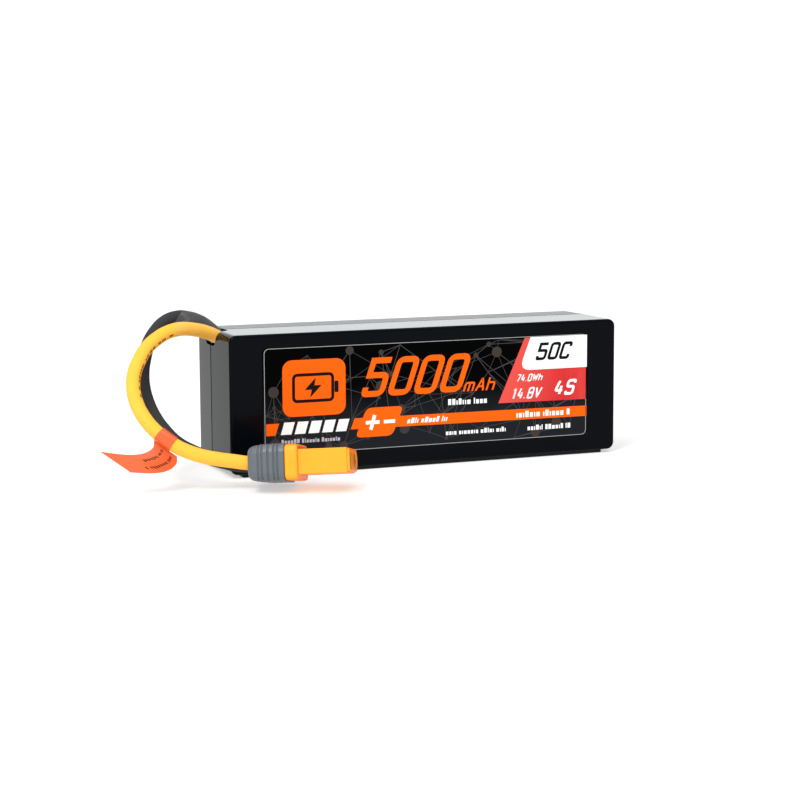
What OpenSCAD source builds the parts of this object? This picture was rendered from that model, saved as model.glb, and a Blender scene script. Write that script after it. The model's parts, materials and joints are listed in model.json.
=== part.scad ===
// Four-cell lithium polymer battery pack in a two-part moulded case.
// The case stands on its long narrow side. +X runs along the case and away from the lead end,
// -Y is the printed face, +Z is up, and the origin is at the middle of the resting pad's underside.

/* [Case] */
// Length of the case along X
case_l = 139; // [134:1:146]
// Thickness of the case along Y
case_t = 35; // [34.5:0.5:38]
// Height of the moulded case along Z, without its resting pad
case_h = 45.5; // [45:0.5:47]
// Wall thickness of both shells
wall = 1.8; // [1.6:0.1:2]
// Radius of the four corners of the printed face
corner_r = 2.6; // [2:0.1:3]
// Radius along the edges of the faces
edge_r = 1; // [0.7:0.1:1.2]
// Height of the resting pad under the case
pad_h = 1; // [0.6:0.1:1.2]
// Distance of the seam behind the middle of the case
seam_y = 3; // [2.5:0.5:3.5]
// Length of the tongue that locates one shell in the other
tongue_l = 1.6; // [1:0.2:2]

/* [Label] */
// Length of the printed film
label_l = 117; // [100:1:118]
// Height of the printed film
label_h = 35; // [30:1:36]
// Thickness of the printed film
label_film = 0.2; // [0.1:0.05:0.25]
// Depth of the moulded recess that holds the film
label_recess = 0.35; // [0.3:0.05:0.5]

/* [Cells] */
// Length of the sealed body of a pouch cell
cell_l = 111; // [100:1:112]
// Thickness of a pouch cell
cell_t = 7.1; // [6.5:0.1:7.1]
// Height of a pouch cell
cell_h = 40.8; // [38:0.2:41]
// Thickness of the adhesive pad between two cells
cell_gap = 0.5; // [0.3:0.1:0.5]

/* [Leads and connector] */
// Outer diameter of a silicone insulated lead
lead_d = 4.5; // [4.2:0.1:5.4]
// Distance between the two contacts
contact_pitch = 10.9; // [10.5:0.1:11.2]
// Inner diameter of a contact socket
socket_d = 4.5; // [4:0.1:4.6]
// Depth of a contact socket
socket_depth = 11; // [9:0.5:11.5]
// Width of the connector collar
collar_w = 21.5; // [21:0.1:22]
// Height of the connector collar
collar_h = 11.2; // [10.8:0.1:11.6]
// Length of the plug-in nose
nose_l = 16; // [14:0.5:18]
// Width of the plug-in nose
nose_w = 19; // [18.6:0.1:19.2]
// Height of the plug-in nose
nose_h = 7.8; // [7.6:0.1:8.4]

/* [Hidden] */
$fn = 48;

// Small distance by which a cutter passes the surface that it cuts
cut = 0.05;
case_mid_z = pad_h + case_h / 2;
end_x = -case_l / 2;
lead_r = lead_d / 2;

// Seam: a shallow shadow groove outside, a tongue and its rebate inside
groove_w = 0.4;
groove_d = 0.3;
tongue_t = 0.85;
tongue_gap = 0.05;

// Resting pad under the case
pad_l = case_l - 9;
pad_inset = 1.3;

// Label recess, slightly above and beside the middle of the face
label_x = 0.2;
label_z = pad_h + 23.3;
label_r = 1.8;
recess_gap = 0.3;

// Opening for the leads through the upper corner of the lead end
exit_x = end_x + 1.5;
exit_y = 3.2;
exit_z = 44.9;
exit_tilt = 48;
exit_h = 7;
exit_spread = 5.6;

// Cell stack
cell_x1 = case_l / 2 - wall - 2.2;
cell_x0 = cell_x1 - cell_l;
cell_z0 = pad_h + wall + 0.5;
cell_pitch = cell_t + cell_gap;
stack_t = 4 * cell_t + 3 * cell_gap;
cell_r = 2;
terrace_l = 5;
terrace_t = 0.4;
band_w = 14;
band_t = 0.12;
band_x = [-25, 35];
foam_x = [5, 53];
foam_l = [44, 20];
foam_t = 0.5;

// Tabs and boards at the lead end
board_t = 1.6;
board_x = cell_x0 - terrace_l - 5.4;
board_w = 29;
board_h = 38;
board_z = cell_z0 + 0.7;
tab_t = 0.25;
tab_h = 9;
tab_low_z = 13.5;
tab_high_z = 33.5;
tab_tip = board_x - 1.2;
slot_gap = 0.1;
link_t = 0.4;
link_h = 11;
link_face = board_x - link_t;
manage_x = board_x - 5.6;
manage_t = 1;
manage_w = 26;
manage_h = 15;
manage_z = 4;
core_x = -60.1;
core_r = 1.7;
core_l = 7.6;
arm_z = 23.8;
arm_h = 6.4;

// Place and lie of the connector: the middle of the collar's front, and its three angles
conn_pos = [end_x + 15.3, -43.7, 8.6];
conn_yaw = 28;
conn_pitch = 3;
conn_roll = 11;
collar_l = 4.2;
boot_l = 11.6;
boot_w = 21.8;
boot_h = 11.9;
boot_r = 2.8;
contact_r = 2.9;
contact_gap = 0.05;
cup_l = 5.4;
cup_r = 2;
mouth_inset = 0.4;

// Routes of the two leads, from their joints inside the case to their cups in the connector
POSITIVE_ROUTE = [[-60.1, -2.6, 28.2], [-60.2, -2.4, 31.5], [-60.4, -1.8, 35.2], [-62, -0.8, 39.4],
    [-65.2, 0, 42.6], [-68.8, 0.1, 44.8], [-72.6, -0.9, 46.4], [-77, -2.6, 47.5],
    [-81.5, -4.3, 48], [-86.2, -6.2, 47.4], [-90.8, -8.6, 45.6], [-94.9, -11.2, 43],
    [-98.1, -14.3, 39.7], [-100.6, -17.4, 36.1], [-101.9, -20.6, 31.9], [-101.9, -24, 27.7],
    [-100.6, -27.6, 23.5], [-98, -30.8, 19.6], [-95.2, -32.9, 17], [-92.3, -34.6, 14.8],
    [-88.5, -36.1, 12.9], [-84, -37.5, 11.4], [-79.9, -38.5, 10.5], [-75.7, -39.4, 9.8],
    [-71.3, -40.7, 9.1], [-68.2, -42.3, 9.1], [-65.5, -43.8, 9.1]];
NEGATIVE_ROUTE = [[-60.1, 6.2, 28.2], [-60.2, 6.2, 31.5], [-60.4, 6.1, 35.6], [-61.9, 6, 39.8],
    [-64.6, 6, 43.2], [-68, 5.9, 46], [-71.9, 5.4, 48.9], [-76.5, 4.6, 50.6], [-81, 3.4, 51],
    [-85.2, 2, 49.7], [-88.8, 0.2, 47], [-91.8, -2.1, 43.4], [-93.9, -4.7, 39.2],
    [-95.4, -7.6, 34.8], [-95.9, -10.5, 30.3], [-95.5, -13.5, 26], [-94.2, -16.5, 21.7],
    [-91.9, -19.6, 17.6], [-88.7, -22.6, 13.9], [-84.5, -25.3, 11.3], [-79.8, -27.5, 9.3],
    [-75, -29, 7.8], [-70.4, -29.9, 6.7], [-66.2, -31.3, 6.7], [-63.2, -32.9, 6.9],
    [-60.4, -34.4, 7.1]];
LEAD_SIDES = 10;

// Clear sleeve over both leads, between two of their route points
sleeve_from = 5;
sleeve_to = 8;
sleeve_gap = 0.35;
sleeve_t = 0.2;
SLEEVE_SIDES = 16;

// Folded tag: its band on the positive lead, and the line along which its flag falls
tag_from = 17.4;
tag_to = 18.75;
tag_rings = 4;
tag_gap = 0.06;
tag_t = 0.3;
TAG_LINE = [[-98.5, -31.2, 16.5], [-98.7, -31.6, 14.8], [-99.6, -31.9, 13.9], [-101.2, -32.1, 13.1],
    [-103.9, -32.1, 12.6], [-107.2, -31.9, 12.7], [-110.8, -31.5, 13.2], [-115.3, -30.7, 14]];
tag_across_root = [6.4, -3.2, -4.9];
tag_across_tip = [8.3, -4.5, -6.3];

// Unit vector along v
function unit(v) = v / norm(v);
// Direction of a route at its point i
function heading(route, i) =
    unit(route[min(i + 1, len(route) - 1)] - route[max(i - 1, 0)]);
// Two directions across a route with the heading t
function across(t) = unit(cross(t, [0, 1, 0]));
function over(t) = cross(across(t), t);
// Ring of points round p, square to the heading t
function ring(p, t, r, sides) =
    [for (k = [0:sides - 1]) p + r * (cos(360 * k / sides) * across(t) + sin(360 * k / sides) * over(t))];
// Ring round two circles at a and b with the radius r
function pair_ring(a, b, t, r, sides) = let (
    mid = (a + b) / 2,
    e1 = unit((b - a) - ((b - a) * t) * t),
    e2 = cross(t, e1),
    half = norm((b - a) - ((b - a) * t) * t) / 2)
    [for (k = [0:sides - 1]) let (turn = 360 * (k + 0.5) / sides)
        mid + (cos(turn) > 0 ? half : -half) * e1 + r * (cos(turn) * e1 + sin(turn) * e2)];
// Side faces between ring i and the next of a stack of rings
function wall_faces(rings, sides, first = 0, flip = false) =
    [for (i = [0:rings - 2], k = [0:sides - 1]) let (
        a = first + i * sides + k,
        b = first + i * sides + (k + 1) % sides)
        flip ? [a, b, b + sides, a + sides] : [a, a + sides, b + sides, b]];

// Rectangle with round corners
module round_rect(w, h, r) {
    square([w - 2 * r, h], center = true);
    square([w, h - 2 * r], center = true);
    for (x = [-1, 1], y = [-1, 1])
        translate([x * (w / 2 - r), y * (h / 2 - r)]) circle(r);
}

// Solid of the closed case, drawn in by inset on every side
module case_solid(inset) {
    l = case_l - 2 * inset;
    t = case_t - 2 * inset;
    h = case_h - 2 * inset;
    face_r = max(corner_r - inset, 0.6);
    side_r = max(edge_r - inset, 0.3);
    translate([0, 0, case_mid_z]) intersection() {
        rotate([90, 0, 0]) linear_extrude(t, center = true) round_rect(l, h, face_r);
        linear_extrude(h, center = true) round_rect(l, t, side_r);
        rotate([90, 0, 90]) linear_extrude(l, center = true) round_rect(t, h, side_r);
    }
}

// Slab of the case between two values of y
module between(y0, y1) {
    translate([-case_l, y0, -1]) cube([2 * case_l, y1 - y0, case_h + 4]);
}

// Part of the case solid between two values of y
module case_slice(inset, y0, y1) {
    intersection() {
        case_solid(inset);
        between(y0, y1);
    }
}

// Flat strip under one shell, which the case stands on
module resting_pad(y0, y1) {
    translate([-pad_l / 2, y0, 0]) cube([pad_l, y1 - y0, pad_h + 0.4]);
}

// Shallow pocket for a printed film on the face at y
module label_pocket(y) {
    translate([label_x, y, label_z]) rotate([90, 0, 0])
        linear_extrude(2 * label_recess, center = true)
            round_rect(label_l + recess_gap, label_h + recess_gap, label_r);
}

// Slanting opening for both leads
module lead_opening() {
    translate([exit_x, exit_y, exit_z]) rotate([0, -exit_tilt, 0])
        linear_extrude(20, center = true) {
            square([exit_h, exit_spread], center = true);
            for (side = [-1, 1]) translate([0, side * exit_spread / 2]) circle(exit_h / 2);
        }
}

module front_shell() {
    color("#14161a") difference() {
        union() {
            case_slice(0, -case_t, seam_y - groove_w / 2);
            case_slice(groove_d, 0, seam_y);
            case_slice(wall - tongue_t, 0, seam_y + tongue_l);
            resting_pad(-case_t / 2 + pad_inset, seam_y);
        }
        case_solid(wall);
        label_pocket(-case_t / 2);
        lead_opening();
    }
}

module rear_shell() {
    color("#1b1d21") difference() {
        union() {
            case_slice(0, seam_y + groove_w / 2, case_t);
            case_slice(groove_d, seam_y, case_t / 2 - edge_r);
            resting_pad(seam_y, case_t / 2 - pad_inset);
        }
        case_solid(wall);
        case_slice(wall - tongue_t - tongue_gap, seam_y - 1, seam_y + tongue_l + tongue_gap);
        label_pocket(case_t / 2);
        lead_opening();
    }
}

// Printed film, side -1 on the front and 1 on the rear
module label(side) {
    floor_y = side * (case_t / 2 - label_recess);
    translate([label_x, floor_y + side * label_film / 2, label_z]) rotate([90, 0, 0])
        linear_extrude(label_film, center = true) round_rect(label_l, label_h, label_r);
}

module front_label() {
    color("#22262c") label(-1);
}

module rear_label() {
    color("#22262c") label(1);
}

// Middle of cell i, counted from the printed face
function cell_y(i) = (i - 2.5) * cell_pitch;

// Pouch cell: a sealed body with soft edges and the thin terrace that its tabs leave
module cell(i) {
    translate([0, cell_y(i), cell_z0 + cell_h / 2]) {
        translate([(cell_x0 + cell_x1) / 2, 0, 0]) intersection() {
            rotate([90, 0, 0]) linear_extrude(cell_t, center = true) round_rect(cell_l, cell_h, cell_r);
            rotate([90, 0, 90]) linear_extrude(cell_l, center = true) round_rect(cell_t, cell_h, cell_r);
        }
        translate([cell_x0 - terrace_l, -terrace_t / 2, -cell_h / 2 + 1])
            cube([terrace_l + 0.5, terrace_t, cell_h - 2]);
    }
}

module cell_1() {
    color("silver") cell(1);
}

module cell_2() {
    color("silver") cell(2);
}

module cell_3() {
    color("silver") cell(3);
}

module cell_4() {
    color("silver") cell(4);
}

module cell_pads() {
    color("ivory") for (i = [1:3])
        translate([cell_x0 + 10, cell_y(i) + cell_t / 2, cell_z0 + 5])
            cube([cell_l - 20, cell_gap, cell_h - 10]);
}

module stack_tape() {
    color("#c98a1c") for (x = band_x) translate([x - band_w / 2, 0, cell_z0 + cell_h / 2])
        rotate([90, 0, 90]) linear_extrude(band_w) difference() {
            square([stack_t + 2 * band_t, cell_h + 2 * band_t], center = true);
            square([stack_t, cell_h], center = true);
        }
}

module side_foam() {
    color("dimgray") for (side = [-1, 1], i = [0, 1])
        translate([foam_x[i] - foam_l[i] / 2, side * (stack_t / 2 + foam_t / 2) - foam_t / 2, cell_z0 + 5])
            cube([foam_l[i], foam_t, cell_h - 10]);
}

module base_foam() {
    color("dimgray") for (i = [0, 1])
        translate([foam_x[i] - foam_l[i] / 2, -11, pad_h + wall]) cube([foam_l[i], 22, 0.5]);
}

module end_foam() {
    color("dimgray") translate([cell_x1, -14, cell_z0 + 3]) cube([2.2, 28, cell_h - 6]);
}

// Tab plate of cell i with its middle at z, grown by gap on its broad sides
module tab(i, z, gap = 0) {
    translate([tab_tip, cell_y(i) - tab_t / 2 - gap, z - tab_h / 2 - gap])
        cube([cell_x0 - terrace_l - tab_tip, tab_t + 2 * gap, tab_h + 2 * gap]);
}

// The cells face alternate ways, so that each link joins unlike tabs
function positive_z(i) = i % 2 == 1 ? tab_high_z : tab_low_z;
function negative_z(i) = i % 2 == 1 ? tab_low_z : tab_high_z;

module positive_tabs() {
    color("gainsboro") for (i = [1:4]) tab(i, positive_z(i));
}

module negative_tabs() {
    color("tan") for (i = [1:4]) tab(i, negative_z(i));
}

module all_tab_slots() {
    for (i = [1:4], z = [tab_low_z, tab_high_z]) tab(i, z, slot_gap);
}

module tab_board() {
    color("#1d5c3a") difference() {
        translate([board_x, -board_w / 2, board_z]) cube([board_t, board_w, board_h]);
        all_tab_slots();
    }
}

// Nickel plate on the tab board from y0 to y1 with its middle at z
module link(y0, y1, z, h = link_h) {
    translate([link_face, y0, z - h / 2]) cube([link_t, y1 - y0, h]);
}

module series_links() {
    edge = 1.8;
    color("lightsteelblue") difference() {
        union() {
            link(cell_y(1) - edge, cell_y(2) + edge, tab_low_z);
            link(cell_y(3) - edge, cell_y(4) + edge, tab_low_z);
            link(cell_y(2) - edge, cell_y(3) + edge, tab_high_z);
            link(cell_y(1) - edge, cell_y(1) + edge, tab_high_z);
            link(cell_y(4) - edge, cell_y(4) + edge, tab_high_z);
            link(cell_y(1) - edge, 0, arm_z, arm_h);
            link(3.4, cell_y(4) + edge, arm_z, arm_h);
            for (i = [1, 4]) link(cell_y(i) - edge, cell_y(i) + edge, tab_high_z - link_h / 2, 4);
        }
        all_tab_slots();
    }
}

module tab_solder() {
    color("silver") for (i = [1:4], z = [tab_low_z, tab_high_z]) difference() {
        translate([link_face - 0.6, cell_y(i), z]) rotate([0, 90, 0])
            linear_extrude(0.6) round_rect(tab_h + 1.4, 2, 0.8);
        tab(i, z, 0);
    }
}

// Bare copper ends of the leads, which lie along the arms of the end links
module lead_cores() {
    color("#b87333") for (route = [POSITIVE_ROUTE, NEGATIVE_ROUTE])
        translate([core_x, route[0].y, route[0].z - 0.2 - core_l]) cylinder(r = core_r, h = core_l);
}

module lead_solder() {
    depth = link_face - core_x;
    color("silver") for (route = [POSITIVE_ROUTE, NEGATIVE_ROUTE]) difference() {
        translate([core_x + depth / 2, route[0].y, arm_z - 2.6]) linear_extrude(5.2)
            round_rect(depth, 4.6, 0.6);
        translate([core_x, route[0].y, 0]) cylinder(r = core_r, h = 60);
    }
}

module management_board() {
    color("#1d5c3a") difference() {
        translate([manage_x, -manage_w / 2, manage_z]) cube([manage_t, manage_w, manage_h]);
        board_pin_set(0.5);
    }
}

// Five pins that join the two boards
module board_pin_set(r) {
    for (i = [-2:2]) translate([manage_x - 0.6, i * 4, manage_z + 2])
        rotate([0, 90, 0]) cylinder(r = r, h = board_x - manage_x + 0.6, $fn = 24);
}

module board_pins() {
    color("gold") board_pin_set(0.4);
}

module board_chips() {
    color("#101010") {
        translate([manage_x - 1.2, -4.5, 7.6]) cube([1.2, 6.5, 6.5]);
        translate([manage_x - 1, 5.5, 8]) cube([1, 4, 5]);
        translate([manage_x - 1, -11, 8]) cube([1, 4, 6]);
    }
}

module balance_resistors() {
    color("#33312e") for (i = [0:7])
        translate([manage_x - 0.6, -11 + i * 2.9, 15.2]) cube([0.6, 1.6, 3.2]);
}

module temperature_sensor() {
    color("#202020") {
        translate([cell_x0 - 2.5, 0, 24]) sphere(1.1);
        for (z = [-0.5, 0.5]) translate([board_x + board_t, 0, 24 + z])
            rotate([0, 90, 0]) cylinder(r = 0.25, h = cell_x0 - 3 - board_x - board_t, $fn = 16);
    }
}

module insulating_card() {
    color("wheat") translate([end_x + wall + 0.3, -14, 4]) cube([0.3, 28, 33]);
}

// Round tube along a route
module lead(route) {
    rings = len(route);
    last = (rings - 1) * LEAD_SIDES;
    points = [for (i = [0:rings - 1]) each ring(route[i], heading(route, i), lead_r, LEAD_SIDES)];
    polyhedron(points, concat(
        [[for (k = [LEAD_SIDES - 1:-1:0]) k]],
        wall_faces(rings, LEAD_SIDES, flip = true),
        [[for (k = [0:LEAD_SIDES - 1]) last + k]]));
}

module positive_lead() {
    color("#ffb52e") lead(POSITIVE_ROUTE);
}

module negative_lead() {
    color("#202225") lead(NEGATIVE_ROUTE);
}

// Thin tube between an outer and an inner stack of rings
module hollow_tube(outer, inner, rings, sides) {
    half = rings * sides;
    function rim(first, flip) = [for (k = [0:sides - 1]) let (
        a = first + k,
        b = first + (k + 1) % sides)
        flip ? [a, a + half, b + half, b] : [a, b, b + half, a + half]];
    polyhedron(concat(outer, inner), concat(
        wall_faces(rings, sides, flip = true),
        wall_faces(rings, sides, half),
        rim(0, true),
        rim((rings - 1) * sides, false)));
}

// Thin clear tube round both leads
module clear_sleeve() {
    function layer(r) = [for (i = [sleeve_from:sleeve_to]) each pair_ring(
        POSITIVE_ROUTE[i], NEGATIVE_ROUTE[i],
        unit(heading(POSITIVE_ROUTE, i) + heading(NEGATIVE_ROUTE, i)), r, SLEEVE_SIDES)];
    inner_r = lead_r + sleeve_gap;
    color("#dfe8ea", 0.4) hollow_tube(
        layer(inner_r + sleeve_t), layer(inner_r), sleeve_to - sleeve_from + 1, SLEEVE_SIDES);
}

// Point of the positive route at the step s, which may lie between two of its points
function route_at(s) = let (i = floor(s))
    POSITIVE_ROUTE[i] + (s - i) * (POSITIVE_ROUTE[i + 1] - POSITIVE_ROUTE[i]);
// Width of the flag as a vector, at point i of its line
function tag_across(i) = tag_across_root
    + pow(i / (len(TAG_LINE) - 1), 2) * (tag_across_tip - tag_across_root);

// Band round the positive lead, and a flag that hangs from it and curls away
module lead_tag() {
    points = len(TAG_LINE);
    inner_r = lead_r + tag_gap;
    step = (tag_to - tag_from) / (tag_rings - 1);
    band_path = [for (k = [0:tag_rings - 1]) route_at(tag_from + k * step)];
    function layer(r) = [for (k = [0:tag_rings - 1])
        each ring(band_path[k], heading(band_path, k), r, LEAD_SIDES)];
    function outward(i) = unit(cross(heading(TAG_LINE, i), tag_across(i)));
    skin = [for (i = [0:points - 1], side = [0, 1], edge = [0, 1])
        TAG_LINE[i] + edge * tag_across(i) + (side - 0.5) * tag_t * outward(i)];
    color("#e0481c") {
        hollow_tube(layer(inner_r + tag_t), layer(inner_r), tag_rings, LEAD_SIDES);
        polyhedron(skin, concat(
            [[0, 1, 3, 2]],
            [for (i = [0:points - 2], face = [[0, 4, 5, 1], [1, 5, 7, 3], [3, 7, 6, 2], [2, 6, 4, 0]])
                [for (corner = face) corner + 4 * i]],
            [[for (corner = [2, 3, 1, 0]) corner + 4 * (points - 1)]]));
    }
}

// Puts its children, drawn with the plug-in direction along +X, where the connector lies
module at_connector() {
    translate(conn_pos) rotate([-conn_roll, -conn_pitch, -conn_yaw]) children();
}

// Cylinder along +X of the connector, from x0 to x1, on the contact at the given side
module contact_rod(side, r, x0, x1) {
    translate([x0, side * contact_pitch / 2, 0]) rotate([0, 90, 0]) cylinder(r = r, h = x1 - x0);
}

// Outline of the nose: square corners at the positive side, cut corners at the other
module nose_outline(inset) {
    w = nose_w / 2 - inset;
    h = nose_h / 2 - inset;
    corner = 2.2;
    polygon([[-w, -h], [w - corner, -h], [w, -h + corner], [w, h - corner], [w - corner, h], [-w, h]]);
}

module connector_housing() {
    lip = 0.8;
    color("#ffb338") at_connector() difference() {
        union() {
            translate([-collar_l, 0, 0]) rotate([90, 0, 90])
                linear_extrude(collar_l) round_rect(collar_w, collar_h, 1.4);
            rotate([90, 0, 90]) linear_extrude(nose_l - lip) nose_outline(0);
            translate([nose_l - lip - cut, 0, 0]) rotate([90, 0, 90])
                linear_extrude(lip + cut) nose_outline(0.4);
        }
        for (side = [-1, 1])
            contact_rod(side, contact_r + contact_gap, -collar_l - 1, nose_l + 1);
    }
}

// Socket towards the nose, solder cup towards the lead
module contact(side) {
    at_connector() difference() {
        contact_rod(side, contact_r, -collar_l - cup_l, nose_l - mouth_inset);
        contact_rod(side, socket_d / 2, nose_l - mouth_inset - socket_depth, nose_l);
        contact_rod(side, cup_r, -collar_l - cup_l - 1, -collar_l - 0.8);
    }
}

module positive_contact() {
    color("gold") contact(-1);
}

module negative_contact() {
    color("gold") contact(1);
}

module contact_solder() {
    color("silver") at_connector() for (side = [-1, 1])
        contact_rod(side, cup_r, -collar_l - cup_l + 0.3, -collar_l - 0.8);
}

module connector_boot() {
    back = -collar_l - boot_l;
    groove = 0.5;
    hollow_end = -collar_l - cup_l - 0.8;
    color("#5e666d") at_connector() difference() {
        translate([-collar_l - boot_l / 2, 0, 0]) intersection() {
            rotate([90, 0, 90]) linear_extrude(boot_l, center = true) round_rect(boot_w, boot_h, boot_r);
            translate([boot_r, 0, 0]) linear_extrude(boot_h, center = true)
                round_rect(boot_l + 2 * boot_r, boot_w, boot_r);
            translate([boot_r, 0, 0]) rotate([90, 0, 0]) linear_extrude(boot_w, center = true)
                round_rect(boot_l + 2 * boot_r, boot_h, boot_r);
        }
        for (x = [2.3, 4.9, 7.4]) translate([-collar_l - x - 0.6, 0, 0]) rotate([90, 0, 90])
            linear_extrude(1.1) difference() {
                square([boot_w + 2, boot_h + 2], center = true);
                round_rect(boot_w - 2 * groove, boot_h - 2 * groove, boot_r - groove);
            }
        translate([hollow_end, 0, 0]) rotate([90, 0, 90])
            linear_extrude(-collar_l - hollow_end + 1) round_rect(17.6, 7, 1);
        for (side = [-1, 1]) contact_rod(side, lead_r + 0.35, back - 1, hollow_end + 1);
    }
}

front_shell();
rear_shell();
front_label();
rear_label();
cell_1();
cell_2();
cell_3();
cell_4();
cell_pads();
stack_tape();
side_foam();
base_foam();
end_foam();
positive_tabs();
negative_tabs();
tab_board();
series_links();
tab_solder();
lead_cores();
lead_solder();
management_board();
board_chips();
balance_resistors();
board_pins();
temperature_sensor();
insulating_card();
positive_lead();
negative_lead();
clear_sleeve();
lead_tag();
connector_boot();
connector_housing();
positive_contact();
negative_contact();
contact_solder();
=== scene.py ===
"""Looks of a four-cell lithium polymer battery pack in a two-part moulded case.

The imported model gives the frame. The classes below build the shells, the printed films, the leads
with their sleeve and tag, and the connector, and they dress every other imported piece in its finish.
Lengths in the classes are millimetres unless a name says otherwise. +X runs along the case and away
from the lead end, -Y is the printed face, and +Z is up.
"""

import json
import logging
import math
import random
from collections.abc import Callable, Iterable, Sequence
from dataclasses import dataclass, field
from enum import Enum
from typing import Any

import bmesh
import bpy
from mathutils import Matrix, Vector

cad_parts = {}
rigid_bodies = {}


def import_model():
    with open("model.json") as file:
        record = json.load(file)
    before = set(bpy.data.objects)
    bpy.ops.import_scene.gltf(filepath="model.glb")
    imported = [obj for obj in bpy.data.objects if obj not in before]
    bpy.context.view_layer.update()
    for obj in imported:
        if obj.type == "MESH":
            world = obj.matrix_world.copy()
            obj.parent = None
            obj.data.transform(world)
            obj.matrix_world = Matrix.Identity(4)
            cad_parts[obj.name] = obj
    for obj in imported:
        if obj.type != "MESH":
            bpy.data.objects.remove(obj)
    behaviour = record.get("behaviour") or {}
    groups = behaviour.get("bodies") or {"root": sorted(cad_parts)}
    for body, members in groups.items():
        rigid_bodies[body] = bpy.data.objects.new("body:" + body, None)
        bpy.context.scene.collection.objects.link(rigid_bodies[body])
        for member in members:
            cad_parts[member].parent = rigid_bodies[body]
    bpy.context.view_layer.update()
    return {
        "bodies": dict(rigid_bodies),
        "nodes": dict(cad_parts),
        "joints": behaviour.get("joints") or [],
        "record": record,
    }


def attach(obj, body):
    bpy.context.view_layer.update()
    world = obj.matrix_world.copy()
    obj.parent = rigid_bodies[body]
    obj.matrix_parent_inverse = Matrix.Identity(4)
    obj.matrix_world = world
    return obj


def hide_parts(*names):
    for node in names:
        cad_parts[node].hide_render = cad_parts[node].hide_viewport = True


MM = 0.001
ROOT = "root"
Colour = tuple[float, float, float]
Point = tuple[float, float]
Place = Callable[[float, float, float], Vector]
log = logging.getLogger("battery_pack")


# Shader nodes


class Signal:
    """A number that changes over a surface: the output of a node, with arithmetic on it."""

    def __init__(self, tree: bpy.types.NodeTree, socket: bpy.types.NodeSocket) -> None:
        """Wraps one output socket of a tree."""
        self.tree = tree
        self.socket = socket

    def _math(self, operation: str, first: Any, second: Any = 0.0) -> "Signal":
        """Adds one Math node.

        Args:
            operation: the node's operation.
            first: the upper value, a signal or a number.
            second: the lower value, a signal or a number.

        Returns:
            The node's output.
        """
        made = self.tree.nodes.new("ShaderNodeMath")
        made.operation = operation
        for socket, item in zip(made.inputs, (first, second)):
            if isinstance(item, Signal):
                self.tree.links.new(item.socket, socket)
            else:
                socket.default_value = item
        return Signal(self.tree, made.outputs[0])

    def __add__(self, other: "Signal | float") -> "Signal":
        """Sum."""
        return self._math("ADD", self, other)

    def __sub__(self, other: "Signal | float") -> "Signal":
        """Difference."""
        return self._math("SUBTRACT", self, other)

    def __rsub__(self, other: float) -> "Signal":
        """Difference from a number."""
        return self._math("SUBTRACT", other, self)

    def __mul__(self, other: "Signal | float") -> "Signal":
        """Product."""
        return self._math("MULTIPLY", self, other)

    def __gt__(self, other: float) -> "Signal":
        """1 where the signal is above the other, else 0."""
        return self._math("GREATER_THAN", self, other)

    def __lt__(self, other: float) -> "Signal":
        """1 where the signal is below the other, else 0."""
        return self._math("LESS_THAN", self, other)

    def __pow__(self, other: float) -> "Signal":
        """Power."""
        return self._math("POWER", self, other)

    def __abs__(self) -> "Signal":
        """Size without its sign."""
        return self._math("ABSOLUTE", self)

    def repeated(self, length: float) -> "Signal":
        """The signal's remainder after whole steps of a length."""
        return self._math("FLOORED_MODULO", self, length)

    __radd__ = __add__
    __rmul__ = __mul__


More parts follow.
